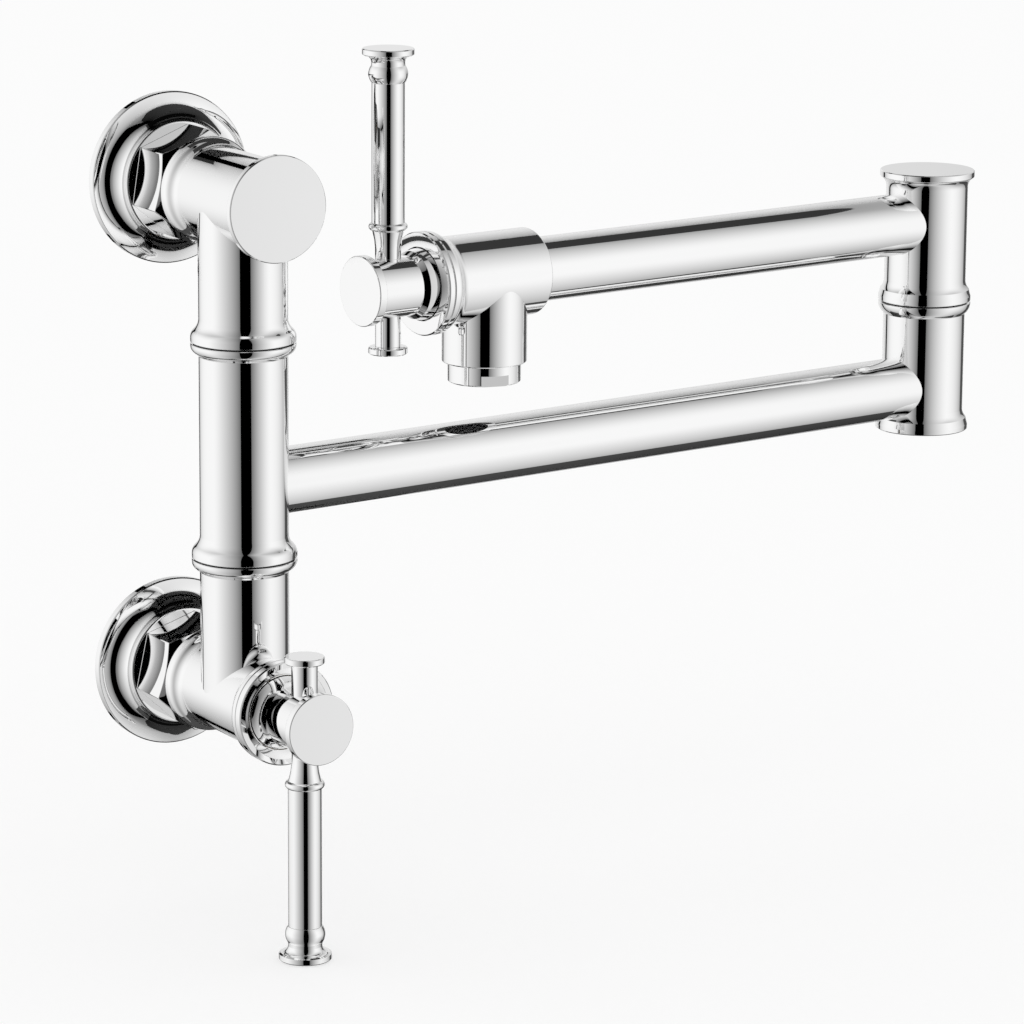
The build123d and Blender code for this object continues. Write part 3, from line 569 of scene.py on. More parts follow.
# %% [markdown]
# ## Bead ends
# The same two turned ends come back all over the object: a blunt bead on one side of each split
# line, and a flared bead, with a cove behind it, on the other side.


# %% Bead ends
def blunt(tube_r, bead_r, face, way):
    """From the tube to the split face, along the outline."""
    shoulder = (tube_r + 1.0, face - way * 4.2)
    points = [(tube_r, face - way * 5.2), shoulder]
    points += arc(shoulder, (bead_r - 0.45, face - way * 2.6), (bead_r, face - way * 0.7))
    return points + [(bead_r, face - way * 0.3), (bead_r - 0.3, face)]


def flared(tube_r, bead_r, face, way):
    """The cove and bead, from the tube to the split face."""
    throat = (tube_r, face - way * 9.2)
    neck = (tube_r + 1.6, face - way * 5.2)
    points = [throat] + arc(throat, (tube_r + 0.45, face - way * 7.0), neck)
    points += arc(neck, (bead_r - 0.45, face - way * 3.7), (bead_r, face - way * 2.2))
    return points + [(bead_r, face - way * 0.4), (bead_r - 0.4, face)]


def coved(tube_r, rim_r, face, way):
    """The cove under a flat cap."""
    throat = (tube_r, face - way * 4.4)
    return [throat] + arc(throat, (tube_r + 0.75, face - way * 1.7), (rim_r - 0.3, face))


# %% [markdown]
# ## Wall unions
# Each escutcheon is a thin shell: a narrow flat rim on the wall, and a cove that sweeps up from it
# to the lip of a boss. The hexagonal nut in front of it has a 30 degree turned chamfer.


# %% Escutcheon and hexagon outlines
def escutcheon_outline():
    """Rim, nearly flat border, cove in three arcs, lip, and the hollow back."""
    points = [(33.0, 0), (35.3, 0), (35.3, 3.2), (34.9, 3.7)]
    points += arc((34.9, 3.7), (32.5, 3.85), (30.2, 4.3), 3.0)
    points += arc((30.2, 4.3), (28.9, 4.87), (27.6, 5.6), 3.0)
    points += arc((27.6, 5.6), (25.38, 8.07), (24.6, 11.3), 4.0)
    points += arc((24.6, 11.3), (24.3, 12.1), (23.6, 12.5))
    return points + [(16.4, 12.5), (16.4, 10.3), (22.2, 10.3), (24.8, 4.2), (28.2, 2.3), (33.0, 2.2)]


def hexagon(flats, turn, corner=0.7, across=7):
    """Points round a hexagon with rounded corners, as angle and radius."""
    half = flats / 2
    reach = (half - corner) / math.cos(math.pi / 6)
    points = []
    for k in range(6):
        middle = math.radians(60 * k + 30 + turn)
        centre = reach * np.array([math.cos(middle), math.sin(middle)])
        for i in range(5):
            t = middle + math.radians(-30 + 60 * i / 4)
            points.append(centre + corner * np.array([math.cos(t), math.sin(t)]))
        nxt = middle + math.radians(60)
        start = points[-1]
        end = reach * np.array([math.cos(nxt), math.sin(nxt)])
        end = end + corner * np.array([math.cos(nxt - math.pi / 6), math.sin(nxt - math.pi / 6)])
        points += [start + (end - start) * i / across for i in range(1, across)]
    return np.array(points)


# %% [markdown]
# A lathe can't turn a hexagon, so the nut is a stack of rings with the same number of points: the
# hexagon at each height, the curve where the chamfer cuts the flats, and circles for the front and
# the bore. On the real nut that curve is what a conical cutter leaves on a hexagonal bar.


# %% Union nut
NUT_FLATS = 40.4


def union_nut(name, body, height, turn, stands_for):
    """Rings of a hexagon between the nut's back, its chamfer and its bore."""
    ring = hexagon(NUT_FLATS, -turn)
    radii = np.linalg.norm(ring, axis=1)
    ways = ring / radii[:, None]
    chamfer = np.minimum(34.0 - (radii - 19.2) * math.tan(math.radians(30.4)), 33.6)
    rows = [(ways * 16.4, 12.5), (ring - ways * 0.3, 12.5), (ring - ways * 0.1, 12.58)]
    rows += [(ring, 12.8), (ring, chamfer - 0.35), (ring - ways * 0.03, chamfer - 0.12)]
    rows += [(ring - ways * 0.12, chamfer + 0.05), (ring - ways * 0.3, chamfer + 0.16)]
    rows += [(ways * 19.5, 33.83), (ways * 19.3, 33.92), (ways * 19.0, 33.98), (ways * 18.8, 34.0)]
    rows += [(ways * 13.4, 34.0), (ways * 13.1, 33.7), (ways * 13.1, 27.0), (ways * 16.4, 27.0)]
    vertices = []
    for flat, out in rows:
        out = np.broadcast_to(out, len(flat))
        # local x is world X and local y is world Z, seen from the room
        vertices.extend(np.stack([flat[:, 0], -out, flat[:, 1] + height], 1))
    count, faces = len(ring), []
    for i in range(len(rows)):
        a, b = i * count, (i + 1) % len(rows) * count
        faces += [[a + j, a + (j + 1) % count, b + (j + 1) % count, b + j] for j in range(count)]
    mesh = mesh_of(name, np.array(vertices) * MM, faces)
    outer = mesh.polygons[count * 3]
    print(name, "flat faces outward:", outer.normal.dot(outer.center - Vector((0, -0.02, height * MM))) > 0)
    area_normals(mesh)
    return place(name, mesh, body, CHROME, stands_for)


# %% [markdown]
# Behind each nut are a brass tailpiece, the wall adapter with its hexagonal socket for a fitting
# key, and a rubber ring that seals the escutcheon against the wall. The CAD has both rings as one
# node, so the lower ring stands for it. The nuts stop at whatever angle they came tight.

# %% Pieces of the wall unions
NUT_TURNS = {"lower": 12.5, "upper": 9.0}
KEY_R = 13.0 / 2 / math.cos(math.pi / 6)  # corner radius of the 13 mm key hexagon
tail = [(7.5, 23), (16.2, 23), (16.2, 27), (13, 27), (13, UNION_FACE), (10.5, UNION_FACE),
        (10.5, 47.5), (7.5, 47.5)]
for side, height in UNION_HEIGHTS.items():
    spot = Vector((0, 0, height))
    turned(f"{side}_escutcheon_shell", "wall_body", CHROME, escutcheon_outline(), spot, OUT,
           [f"{side}_escutcheon"], segments=144)
    union_nut(f"{side}_hex_nut", "wall_body", height, NUT_TURNS[side], [f"{side}_union_nut"])
    turned(f"{side}_tail", "wall_body", "brass", tail, spot, OUT, [f"{side}_tailpiece"], segments=96)
    turned(f"{side}_seal_ring", "wall_body", "rubber", band(30.2, 33, 0, 2.2), spot, OUT,
           ["escutcheon_seals"] if side == "lower" else [], segments=144, ease=0.5)
    shell = [(10.45, 0.6), (11.0, 0), (16.4, 0), (16.4, 21), (5.5, 21), (5.5, 15), (10.45, 15)]
    joined(f"{side}_adapter", "wall_body", "brass",
           [(None, shell, spot, OUT, 96),
            ("DIFFERENCE", band(0, KEY_R, 14, 22), spot, OUT, 6)],
           [f"{side}_wall_adapter"])
print("wall unions:", len(made), "pieces")

# %% [markdown]
# ## Pipe threads
# Each wall adapter screws on to a half-inch pipe, so its mouth has a female thread with 14 turns to
# the inch. A thread is one profile that follows a helix: Geometry Nodes sweep it along a spiral.


# %% Geometry Nodes tools
def growth(name, inputs):
    """A Geometry Nodes tree with named inputs: the tree, its inputs and its output."""
    tree = bpy.data.node_groups.new(name, "GeometryNodeTree")
    for key, kind in inputs.items():
        tree.interface.new_socket(key, in_out="INPUT", socket_type=kind)
    tree.interface.new_socket("Mesh", in_out="OUTPUT", socket_type="NodeSocketGeometry")
    given = tree.nodes.new("NodeGroupInput").outputs
    return tree, given, tree.nodes.new("NodeGroupOutput").inputs["Mesh"]


def finished(tree, mesh, material, result):
    """End a tree the way every tree here ends: real geometry, with its material."""
    real = planted(tree, "GeometryNodeRealizeInstances", {"Geometry": mesh})
    paint = planted(tree, "GeometryNodeSetMaterial", {"Geometry": real.outputs[0], "Material": material})
    tree.links.new(paint.outputs["Geometry"], result)


def grown(name, tree, values, spot, way):
    """Run a tree once; its result as a plain mesh in metres, stood along a direction."""
    holder = linked(name, bpy.data.meshes.new(name))
    change = holder.modifiers.new("grow", "NODES")
    change.node_group = tree
    for socket in tree.interface.items_tree:
        if socket.in_out == "INPUT":
            change[socket.identifier] = values[socket.name]
    mesh = modified(holder)
    bpy.data.objects.remove(holder)
    mesh.transform(standing(spot, *sides_of(way), way))
    mesh.name = name
    return mesh


# %% [markdown]
# The thread's profile is a trapezoid with its crest towards the axis. The spiral keeps one radius
# from start to end, and its curve normal is held level so that the profile doesn't twist.

# %% Thread tree
NUMBER, MATERIAL = "NodeSocketFloat", "NodeSocketMaterial"
thread, given, result = growth("pipe_thread", {
    "Radius": NUMBER, "Length": NUMBER, "Turns": NUMBER, "Foot": NUMBER, "Crest": NUMBER, "Depth": NUMBER,
    "Finish": MATERIAL})
helix = planted(thread, "GeometryNodeCurveSpiral", {
    "Resolution": 48,
    "Reverse": True,  # right-handed, seen from the wall
    "Rotations": given["Turns"],
    "Start Radius": given["Radius"],
    "End Radius": given["Radius"],
    "Height": given["Length"],
})
upright = planted(thread, "GeometryNodeSetCurveNormal", {"Curve": helix.outputs[0]}, mode="Z_UP")
ridge = planted(thread, "GeometryNodeCurvePrimitiveQuadrilateral", {
    "Bottom Width": given["Foot"], "Top Width": given["Crest"], "Height": given["Depth"], "Offset": 0.0,
}, mode="TRAPEZOID")
stand = planted(thread, "GeometryNodeTransform", {
    "Rotation": (0, 0, math.radians(90)), "Geometry": ridge.outputs[0]})
sweep = planted(thread, "GeometryNodeCurveToMesh", {
    "Fill Caps": True, "Curve": upright.outputs[0], "Profile Curve": stand.outputs["Geometry"]})
finished(thread, sweep.outputs["Mesh"], given["Finish"], result)
print("thread tree:", len(thread.nodes), "nodes")

# %% [markdown]
# One tree makes both threads: seven turns from just inside each adapter's mouth. The ridge sinks a
# little into the wall of the bore, so the two read as one solid.

# %% Threads in the adapters
PITCH = 25.4 / 14 * MM
for side, height in UNION_HEIGHTS.items():
    mesh = grown(f"{side}_thread", thread, {
        "Radius": 9.9 * MM, "Length": 7 * PITCH, "Turns": 7.0, "Foot": 0.86 * PITCH, "Crest": 0.2 * PITCH,
        "Depth": 1.2 * MM, "Finish": finishes["brass"]}, UP * height + OUT * 1.0, OUT)
    place(f"{side}_pipe_thread", mesh, "wall_body", "brass", [])
    radii = [math.hypot(v.co.x, v.co.z - height * MM) / MM for v in mesh.vertices]
    print(side, "thread between radii", round(min(radii), 2), "and", round(max(radii), 2))

# %% [markdown]
# ## Riser
# Three parts share the riser's axis: the valve body's stub, the turning sleeve and the upper elbow.
# The thin dark line at each split is a washer set back between two beads.

# %% Riser parts
SPLITS = (57.2, 145.6)  # the middle heights of the two washers
GAP = 0.25  # from there to the parts on either side
BORE_R = 12.05  # of the parts that turn on the spindle and on the post's spigot


def rear(barrel_r):
    """The outline of a barrel's wall end: the flared bead against the union nut."""
    return [(0, UNION_FACE)] + flared(barrel_r, UNION_BEAD_R, UNION_FACE, -1)[::-1]


low_cut, low_edge = SPLITS[0] - GAP, SPLITS[0] + GAP
high_edge, high_cut = SPLITS[1] - GAP, SPLITS[1] + GAP
TOP = UNION_HEIGHTS["upper"]
CAP_FACE = 93.0
lower_front = flared(INLET_R, VALVE_BEAD_R, LOWER_VALVE_FACE, 1) + [(0, LOWER_VALVE_FACE)]
stub = [(0, 0), (BODY_R, 0)] + blunt(BODY_R, BEAD_R, low_cut, 1) + [(0, low_cut)]
joined("lower_valve_housing", "wall_body", CHROME,
       [(None, rear(INLET_R) + lower_front, Vector((0, 0, 0)), OUT, 128), ("UNION", stub, RISER, UP, 128)],
       ["lower_valve_body"])
upper_front = coved(ELBOW_R, 21.5, CAP_FACE, 1) + [(0, CAP_FACE)]
drop = [(0, high_cut)] + flared(BODY_R, BEAD_R, high_cut, -1)[::-1] + [(BODY_R, TOP), (0, TOP)]
joined("upper_elbow_housing", "wall_body", CHROME,
       [(None, rear(ELBOW_R) + upper_front, UP * TOP, OUT, 128), ("UNION", drop, RISER, UP, 128)],
       ["upper_elbow"])
turned("elbow_end_cap", "wall_body", CHROME,
       [(0, 86), (10, 86), (10, CAP_FACE), (21.2, CAP_FACE), (21.5, 93.3), (21.5, 95.6), (21.1, 96),
        (0, 96)], UP * TOP, OUT, ["elbow_cap"])
sleeve = [(BORE_R, low_edge)] + flared(BODY_R, BEAD_R, low_edge, -1)[::-1]
sleeve += blunt(BODY_R, BEAD_R, high_edge, 1) + [(BORE_R, high_edge)]
turned("sleeve", "lower_arm", CHROME, sleeve, RISER, UP, ["riser_sleeve"])
for index, split in enumerate(SPLITS):
    turned(f"thrust_washer_{index}", "wall_body", "nylon", band(12, 19.6, split - GAP, split + GAP),
           RISER, UP, ["riser_thrust_washers"] if index == 0 else [], segments=96, ease=0.05)
print("riser: sleeve of", round(high_edge - low_edge, 1), "mm between its washers")

# %% [markdown]
# ## Arms and post
# Each arm tube is cut to a fish mouth where it meets an upright, so its end rings are moved along
# the tube until they lie on the upright's round core.


# %% Arm tubes
CORE_R = 16.0  # inside the uprights' skin, so that a coped end is hidden in it


def arm(name, body, height, way, start, length, ends, stands_for):
    """A tube along a way from an upright, with one or both of its ends coped."""
    outline = band(ARM_R - 2, ARM_R, 0, length)

    def cope(heights, across):
        level = across @ np.array(way.cross(UP))
        reach = np.sqrt(np.maximum(CORE_R**2 - level**2, 0))
        near = np.where(heights < 1, heights + reach, heights)
        far = length - (reach if ends == 2 else 0)
        return np.where(heights > length - 1, heights - length + far, near)

    spot = start + UP * height
    return turned(name, body, CHROME, outline, spot, way, stands_for, cope=cope)


arm("lower_arm_pipe", "lower_arm", LOWER_ARM_Z, ARM_WAY, RISER, 363.0, 2, ["lower_arm_tube"])
arm("upper_arm_pipe", "upper_arm", UPPER_ARM_Z, BACK_WAY, POST, 227.0, 1, ["upper_arm_tube"])
print("arms reach", round((POST - RISER).length + (SPOUT - POST).length), "mm")

# %% [markdown]
# The post has a split like the riser's. Its upper half turns on a spigot in the lower half.

# %% Post
POST_SPLIT = 124.5
post_cut, post_edge = POST_SPLIT - GAP, POST_SPLIT + GAP
lower_half = [(0, 67.0)] + flared(BODY_R, POST_BEAD_R, 67.0, -1)[::-1]
lower_half += blunt(BODY_R, POST_BEAD_R, post_cut, 1) + [(12, post_cut), (12, 73), (0, 73)]
turned("post_lower", "lower_arm", CHROME, lower_half, POST, UP, ["post_lower_half"])
upper_half = [(BORE_R, post_edge)] + flared(BODY_R, POST_BEAD_R, post_edge, -1)[::-1]
upper_half += coved(BODY_R, 20.8, 180.0, 1) + [(14.6, 180.0), (14.6, 139.0), (BORE_R, 139.0)]
turned("post_upper", "upper_arm", CHROME, upper_half, POST, UP, ["post_upper_half"])
post_cap = [(0, 175.5), (14.6, 175.5), (14.6, 180), (20.5, 180), (20.8, 180.3), (20.8, 182.6),
            (20.4, 183), (0, 183)]
turned("post_end_cap", "upper_arm", CHROME, post_cap, POST, UP, ["post_cap"])
turned("post_washer", "lower_arm", "nylon", band(12, 18.8, post_cut, post_edge),
       POST, UP, ["swivel_thrust_washer"], segments=96, ease=0.05)
print("post split at", POST_SPLIT, "mm")

# %% [markdown]
# ## Spout
# The tee at the arm's end holds the second valve and sends the water down through the aerator.

# %% Spout and aerator
VALVE_FACE = 30.3
tee = [(0, -22.2), (17.2, -22.2)] + arc((17.2, -22.2), (17.9, -21.9), (18.2, -21.2))
tee += flared(18.2, VALVE_BEAD_R, VALVE_FACE, 1) + [(0, VALVE_FACE)]
outlet = [(0, 124.3), (17.25, 124.3), (17.75, 124.8), (17.75, UPPER_ARM_Z), (0, UPPER_ARM_Z)]
joined("spout_housing", "upper_arm", CHROME,
       [(None, tee, SPOUT + UP * UPPER_ARM_Z, BACK_WAY, 128),
        ("UNION", outlet, SPOUT, UP, 128),
        ("DIFFERENCE", band(0, 10.5, 120, 150), SPOUT, UP, 96)],
       ["spout_body"])
housing = [(10.9, 116), (14.8, 116), (15.3, 116.5), (15.3, 124.3), (13, 124.3), (13, 131), (11.8, 131)]
housing += [(11.8, 117.5), (10.9, 117.5)]
flat_turn = math.radians(258)
flat_way = Vector((math.cos(flat_turn), math.sin(flat_turn), 0))
solids = [(None, housing, SPOUT, UP, 128)]
for s in (1, -1):
    # two flats for a spanner
    solids.append(("DIFFERENCE", (9.0, 16.0, 4.0), SPOUT + UP * 116 + flat_way * 16.1 * s, flat_way, 0))
joined("aerator_shell", "upper_arm", CHROME, solids, ["aerator_housing"])
print("spout outlet", outlet[0][1], "mm above the lower union")

# %% [markdown]
# ## Aerator insert
# Seen from below, the housing holds a moulded insert with hexagonal holes, one in the middle and two
# rings round it. Geometry Nodes put a hexagon at each place, and fill the disc round them.

# %% Insert tree
insert, given, result = growth("aerator_insert", {
    "Radius": NUMBER, "Thickness": NUMBER, "Hole radius": NUMBER, "Inner ring": NUMBER, "Finish": MATERIAL})
CIRCLE = "GeometryNodeCurvePrimitiveCircle"
rim = planted(insert, CIRCLE, {"Resolution": 96, "Radius": given["Radius"]})
outlines = planted(insert, "GeometryNodeJoinGeometry", {"Geometry": rim.outputs["Curve"]})
for count, factor in ((1, 0.0), (6, 1.0), (12, 2.0)):
    reach = math_node(insert, "MULTIPLY", given["Inner ring"], factor)
    seats = planted(insert, "GeometryNodeMeshCircle", {"Vertices": max(count, 3), "Radius": reach})
    hole = planted(insert, CIRCLE, {"Resolution": 6, "Radius": given["Hole radius"]})
    holes = planted(insert, "GeometryNodeInstanceOnPoints", {
        "Points": seats.outputs["Mesh"], "Instance": hole.outputs["Curve"]})
    if count == 1:
        # a circle has three points at least, and only the first is used
        index = insert.nodes.new("GeometryNodeInputIndex").outputs[0]
        first = planted(insert, "FunctionNodeCompare", {"A": index}, data_type="INT", operation="EQUAL")
        insert.links.new(first.outputs["Result"], holes.inputs["Selection"])
    insert.links.new(holes.outputs["Instances"], outlines.inputs["Geometry"])
print("insert tree:", len(insert.nodes), "nodes")

# %% [markdown]
# The outlines are filled to a face with holes. It is extruded, its flipped copy closes the bottom,
# and merging the two makes one closed solid.

# %% Insert
real = planted(insert, "GeometryNodeRealizeInstances", {"Geometry": outlines.outputs["Geometry"]})
face = planted(insert, "GeometryNodeFillCurve", {"Curve": real.outputs["Geometry"]})
raised = planted(insert, "GeometryNodeExtrudeMesh", {
    "Individual": False, "Mesh": face.outputs["Mesh"], "Offset Scale": given["Thickness"]})
under = planted(insert, "GeometryNodeFlipFaces", {"Mesh": face.outputs["Mesh"]})
both = planted(insert, "GeometryNodeJoinGeometry", {"Geometry": raised.outputs["Mesh"]})
insert.links.new(under.outputs["Mesh"], both.inputs["Geometry"])
closed = planted(insert, "GeometryNodeMergeByDistance", {
    "Distance": 0.00001, "Geometry": both.outputs["Geometry"]})
finished(insert, closed.outputs["Geometry"], given["Finish"], result)
mesh = grown("insert", insert, {
    "Radius": 11.8 * MM, "Thickness": 10.0 * MM, "Hole radius": 1.5 * MM, "Inner ring": 4.4 * MM,
    "Finish": finishes["nylon"]}, SPOUT + UP * 117.5, UP)
place("aerator_grid", mesh, "upper_arm", "nylon", ["aerator_insert"])
print("aerator insert:", len(mesh.polygons), "faces")

# %% [markdown]
# ## Valves and levers
# Both valves carry the same trim: a collar, a hub whose flank is drawn in to a plain knob, a flat
# cap, and a turned lever through the knob. The collars and flanks were read off the photograph's
# reflections, and the two differ a little.


# %% Collar, hub and lever
THROAT_R = 15.35
FLANGE_R = 15.0
KNOB_R = 12.4


def collar_outline(rim, face_r, throat):
    """A plain rim, a flat face in to face_r, and a countersink down to the throat."""
    points = [(16.4, 0), (VALVE_BEAD_R - 0.4, 0), (VALVE_BEAD_R, 0.4), (VALVE_BEAD_R, rim - 0.5)]
    points += [(VALVE_BEAD_R - 0.5, rim), (face_r, rim), throat, (THROAT_R, throat[1])]
    return points + [(THROAT_R, 1.0), (10.5, 1.0), (10.5, -3.0), (16.4, -3.0)]


def hub_outline(flank):
    """A flange in the throat of the collar, a flank drawn in from it, and the plain knob."""
    return [(0, 1.6), (FLANGE_R, 1.6)] + flank + [(KNOB_R, 28.9), (0, 28.9)]


def lever_pieces(side, body, origin, way):
    """The turned pieces of one lever, along its rod."""
    plans = {
        "rod": ([(0, -26), (3, -26), (3, -24), (5.3, -24), (5.3, KNOB_R), (3, KNOB_R), (3, 88), (0, 88)],
                "lever_rod"),
        "button": ([(3, -24), (6.2, -24), (7.7, -24.3), (8.1, -24.7), (8.1, -26.7), (7.7, -27.1),
                    (0, -27.1), (0, -26), (3, -26)], "lever_end_disc"),
        "ferrule": ([(3, KNOB_R), (5.3, KNOB_R)] + arc((5.3, KNOB_R), (5.5, 18.6), (6.6, 23.9))
                    + arc((6.6, 23.9), (8.0, 25.5), (6.9, 27.0)) + [(3, 27.0)], "lever_ferrule"),
        "grip": (band(3, 6.8, 27.0, 84.3), "lever_grip"),
        "finial": ([(3, 84.3), (7.0, 84.3)] + arc((7.0, 84.3), (8.1, 87.6), (7.0, 91.2)) + [(6.9, 92.4)]
                   + arc((6.9, 92.4), (7.7, 94.4), (9.8, 95.3)) + [(10.7, 95.8), (10.7, 97.8), (10.3, 98.2),
                   (0, 98.2), (0, 88), (3, 88)], "lever_finial"),
    }
    for part, (outline, node) in plans.items():
        turned(f"{side}_lever_{part}_turned", body, CHROME, outline, origin, way, [f"{side}_{node}"],
               segments=72, ease=0.18)


# %% [markdown]
# The lever goes through the middle of the knob. A grub screw, square to it, holds the hub on the
# valve's stem. Seen from the front, the lower lever hangs down and the spout's lever stands up.


# %% Both valves
def valve_trim(side, fixed_body, lever_body, origin, way, lever_way, collar_fronts, hub_flank):
    """Collar, hub, grub screw, cap and lever of one valve."""
    grub_way = way.cross(lever_way)
    grub_spot = origin + way * 9.9
    turned(f"{side}_collar", fixed_body, CHROME, collar_outline(*collar_fronts), origin, way,
           [f"{side}_valve_collar"])
    joined(f"{side}_hub", lever_body, CHROME,
           [(None, hub_outline(hub_flank), origin, way, 128),
            ("DIFFERENCE", band(0, 1.5, 0, 17), grub_spot, grub_way, 32)],
           [f"{side}_handle_hub"])
    joined(f"{side}_grub", lever_body, "steel",
           [(None, [(0, 3.9), (1.2, 3.9), (1.47, 4.2), (1.47, 9.7), (1.2, 9.9), (0, 9.9)],
             grub_spot, grub_way, 32),
            ("DIFFERENCE", band(0, 0.8, 7.9, 11), grub_spot, grub_way, 6)],
           [f"{side}_grub_screw"])
    turned(f"{side}_cap", lever_body, CHROME,
           [(0, 25.6), (6, 25.6), (6, 28.9), (14.2, 28.9), (14.5, 29.2), (14.5, 32.4), (14.2, 32.7),
            (0, 32.7)], origin, way, [f"{side}_handle_cap"])
    lever_pieces(side, lever_body, origin + way * 18.7, lever_way)


SPOUT_VALVE = SPOUT + UP * UPPER_ARM_Z + BACK_WAY * VALVE_FACE
foot = (FLANGE_R, 1.8)
valve_trim("lower", "wall_body", "lower_lever", OUT * LOWER_VALVE_FACE, OUT, -UP,
           (4.0, 18.7, (15.8, 1.6)), [foot] + arc(foot, (13.4, 5.0), (KNOB_R, 9.8), 4.0))
valve_trim("spout", "upper_arm", "spout_lever", SPOUT_VALVE, BACK_WAY, UP,
           (3.0, 17.9, (15.4, 2.8)), [(FLANGE_R, 2.6), (14.0, 7.1), (13.6, 7.7), (KNOB_R, 9.4)])
print("pieces made:", len(made), "triangles:", sum(len(o.data.loops) for o in made.values()) // 2)

# %% [markdown]
# ## Studio
# The camera stands where the photograph's did: its place, its turn and its focal length come from
# fitting the CAD model's edges to the photograph's.

# %% Camera
scene = bpy.context.scene
scene.view_settings.view_transform = "Standard"
yaw, pitch, roll = 0.5412, 0.2234, 0.0066  # radians
CAMERA_SPOT = Vector((-915.3035, -1798.038, 520.8653))
FOCAL_PIXELS = 4982.1
PHOTO_PIXELS = 1024
forward = Vector((math.sin(yaw) * math.cos(pitch), math.cos(yaw) * math.cos(pitch), -math.sin(pitch)))
right = Vector((math.cos(yaw), -math.sin(yaw), 0))
above = right.cross(forward)
x_axis = math.cos(roll) * right + math.sin(roll) * above
y_axis = -math.sin(roll) * right + math.cos(roll) * above
camera = linked("camera", bpy.data.cameras.new("camera"))
camera.matrix_world = standing(CAMERA_SPOT, x_axis, y_axis, -forward)
camera.data.sensor_width = 36.0
camera.data.lens = FOCAL_PIXELS / PHOTO_PIXELS * 36.0
camera.data.clip_start = 0.01
camera.data.clip_end = 100.0
scene.camera = camera
print("lens:", round(camera.data.lens, 1), "mm")

# %% [markdown]
# ## Surroundings
# Mirror chrome has no look of its own: it shows the room. The world is plain white, both for the
# camera and for what metal reflects, and lights everything else at a level where a colour comes out
# as it is written.


# %% World
def seen_rays(tree):
    """1 for the rays that look at a surface or the world, and 0 for those that only light by it."""
    path = tree.nodes.new("ShaderNodeLightPath")
    seen = math_node(tree, "ADD", path.outputs["Is Camera Ray"], path.outputs["Is Glossy Ray"])
    return math_node(tree, "ADD", seen, path.outputs["Is Transmission Ray"], clamp=True)


WHITE = 0.975
WORLD_LIGHT = 0.985
world = bpy.data.worlds.new("surroundings")
scene.world = world
world.use_nodes = True
sky = world.node_tree
level = math_node(sky, "MULTIPLY_ADD", seen_rays(sky), WHITE - WORLD_LIGHT, WORLD_LIGHT)
sky.nodes["Background"].inputs["Color"].default_value = (1, 1, 1, 1)
sky.links.new(level, sky.nodes["Background"].inputs["Strength"])
print("world seen at", WHITE, "and lighting at", WORLD_LIGHT)

# %% [markdown]
# The floor catches a soft shadow. Part of its white is its own and part is lit, which keeps the
# shadow as faint as the photograph's. It is solid from above and clear from below, so that no view
# loses the object.


# %% Floor
def sheet(name, half_width, half_height, middle=(0, 0, 0), across=(1, 0, 0), upward=(0, 1, 0)):
    """A flat sheet of the studio."""
    mesh = bpy.data.meshes.new(name)
    x, y = half_width * MM, half_height * MM
    mesh.from_pydata([(-x, -y, 0), (x, -y, 0), (x, y, 0), (-x, y, 0)], [], [(0, 1, 2, 3)])
    flat = linked(name, mesh)
    across, upward = Vector(across).normalized(), Vector(upward).normalized()
    flat.matrix_world = standing(middle, across, upward, across.cross(upward))
    return flat


FLOOR_Z = -98.6
HALF_FLOOR = 12000
OWN_WHITE = 0.6
floor = sheet("floor", HALF_FLOOR, HALF_FLOOR, (0, 0, FLOOR_Z))
paint, tree = node_material("floor")
lit = tree.nodes["Principled BSDF"]
lit.inputs["Base Color"].default_value = (WHITE, WHITE, WHITE, 1)
lit.inputs["Roughness"].default_value = 1.0
lit.inputs["Specular IOR Level"].default_value = 0.0
plain = planted(tree, "ShaderNodeEmission", {"Color": (WHITE, WHITE, WHITE, 1)})
own = math_node(tree, "MULTIPLY", seen_rays(tree), OWN_WHITE)
above_it = planted(tree, "ShaderNodeMixShader", {"Fac": own, 1: lit.outputs[0], 2: plain.outputs[0]})
below = tree.nodes.new("ShaderNodeNewGeometry").outputs["Backfacing"]
clear = tree.nodes.new("ShaderNodeBsdfTransparent").outputs[0]
either = planted(tree, "ShaderNodeMixShader", {"Fac": below, 1: above_it.outputs[0], 2: clear})
tree.links.new(either.outputs[0], tree.nodes["Material Output"].inputs["Surface"])
floor.data.materials.append(paint)
floor.visible_glossy = False
print("floor at", FLOOR_Z, "mm")

# %% [markdown]
# One large lamp above the camera's left shoulder gives the shadow a side. Metal doesn't mirror it,
# because a mirrored lamp would be a bright square.

# %% Lamp
lamp = bpy.data.lights.new("soft_box", "AREA")
lamp.size = 2.4
lamp.energy = 1.6
soft_box = linked("soft_box", lamp)
lamp_place = Vector((-1.6, -1.9, 2.6))
lamp_turn = lamp_place.to_track_quat("Z", "Y").to_matrix().to_4x4()
soft_box.matrix_world = Matrix.Translation(lamp_place) @ lamp_turn
soft_box.visible_glossy = False
print("lamp:", lamp.energy, "W over", lamp.size, "m")

# %% [markdown]
# ## Flags
# Product photographers set dark sheets, called flags, round polished metal, so that its edges and
# its roundness show. Each flag here is a film that only reflections see: dark on its core, and
# fading to clear around it. One shader group makes that fade for all of them.


# %% Flag tools
def beyond_core(group, distance, half):
    """How far outside the core a point is, along one axis."""
    return math_node(group, "MAXIMUM", math_node(group, "SUBTRACT", distance, half), 0.0)


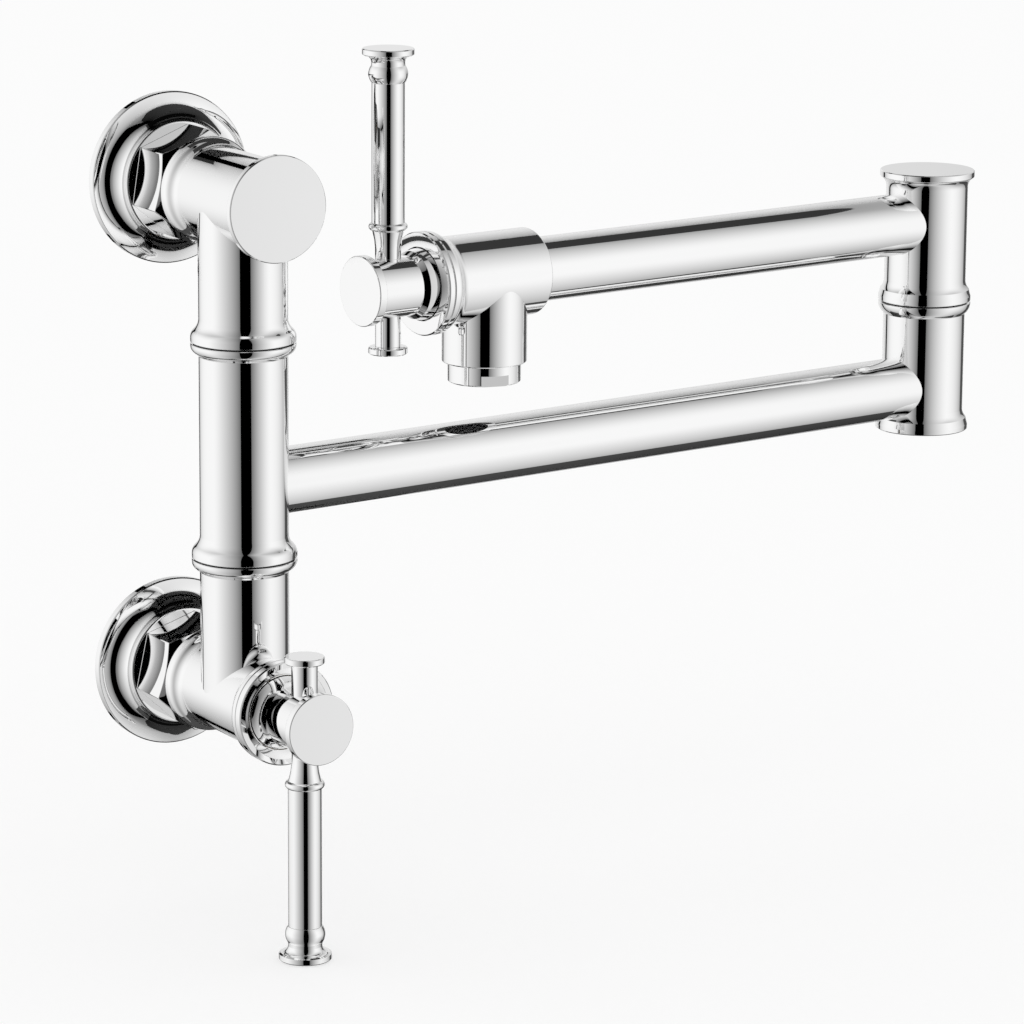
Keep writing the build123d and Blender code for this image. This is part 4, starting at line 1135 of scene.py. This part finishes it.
names = ("Half width", "Half height", "Core density", "Edge density", "Fade length")
density, given, result = shader_group("flag_density", names, "Density")
spot = planted(density, "ShaderNodeSeparateXYZ", {0: object_spot(density)})
wide = beyond_core(density, math_node(density, "ABSOLUTE", spot.outputs["X"]), given["Half width"])
high = beyond_core(density, math_node(density, "ABSOLUTE", spot.outputs["Y"]), given["Half height"])
wide, high = math_node(density, "POWER", wide, 2.0), math_node(density, "POWER", high, 2.0)
away = math_node(density, "SQRT", math_node(density, "ADD", wide, high))
steps = math_node(density, "DIVIDE", away, given["Fade length"])
fade = math_node(density, "EXPONENT", math_node(density, "MULTIPLY", steps, -1.0))
fade = math_node(density, "MULTIPLY", fade, given["Edge density"])
core = math_node(density, "MULTIPLY", math_node(density, "LESS_THAN", away, 0.0005), given["Core density"])
density.links.new(math_node(density, "MAXIMUM", fade, core), result)


flags = []


def flag(name, width, height, middle, across, upward, core, edge, fade):
    """A film with a core of width by height millimetres, and its fade."""
    film = sheet(name, 0.5 * width + 5 * fade, 0.5 * height + 5 * fade, middle, across, upward)
    tinted, tree = node_material(name)
    tree.nodes.remove(tree.nodes["Principled BSDF"])
    sizes = {"half width": width / 2 * MM, "half height": height / 2 * MM, "fade length": fade * MM}
    dark = effect(tree, density, **sizes, **{"core density": core, "edge density": edge})
    passed = math_node(tree, "SUBTRACT", 1.0, dark)
    tint = planted(tree, "ShaderNodeCombineColor", {"Red": passed, "Green": passed, "Blue": passed})
    clear = planted(tree, "ShaderNodeBsdfTransparent", {"Color": tint.outputs[0]})
    tree.links.new(clear.outputs[0], tree.nodes["Material Output"].inputs["Surface"])
    film.data.materials.append(tinted)
    film.visible_camera = film.visible_diffuse = film.visible_shadow = False
    flags.append(film)


def standing_flag(name, first, last, low, high, core, edge, fade):
    """An upright flag between two places on plan, each (screen right, towards the camera)."""
    ends = [right * r + Vector((-right.y, right.x, 0)) * -t for r, t in (first, last)]
    middle = (ends[0] + ends[1]) / 2 + UP * (low + high) / 2
    across = ends[1] - ends[0]
    flag(name, across.length, high - low, middle, across, UP, core, edge, fade)


def lying_flag(name, x, y, height, core, edge, fade):
    """A level flag between two X and two Y values."""
    middle = ((x[0] + x[1]) / 2, (y[0] + y[1]) / 2, height)
    flag(name, x[1] - x[0], y[1] - y[0], middle, (1, 0, 0), (0, 1, 0), core, edge, fade)


# %% [markdown]
# The front flag draws the dark line down every upright and the top flag the one along the arms. The
# two at the back and the one below darken the outer edges. Two small films over and under each
# union give the escutcheon's cove its black top and bottom.

# %% Flags
standing_flag("front_flag", (-32, 847), (368, 870), -4000, 6000, 1.0, 0.83, 710)
standing_flag("left_back_flag", (-480, -845), (-350, -905), -1200, 1900, 1.0, 0.5, 250)
standing_flag("right_back_flag", (815, -1283), (1187, -975), -910, 120, 0.92, 0.62, 615)
lying_flag("top_flag", (-205, 1115), (-118, 458), 1130, 0.96, 0.62, 710)
lying_flag("bottom_flag", (-295, 1190), (-107, 998), -780, 0.93, 0.46, 880)
for side, height in UNION_HEIGHTS.items():
    lying_flag(f"{side}_union_above", (-14, 110), (-20, 2), height + 38, 0.95, 0.5, 4)
    lying_flag(f"{side}_union_below", (-14, 110), (-12, 2), height - 38, 0.95, 0.5, 4)
print("flags:", len(flags))
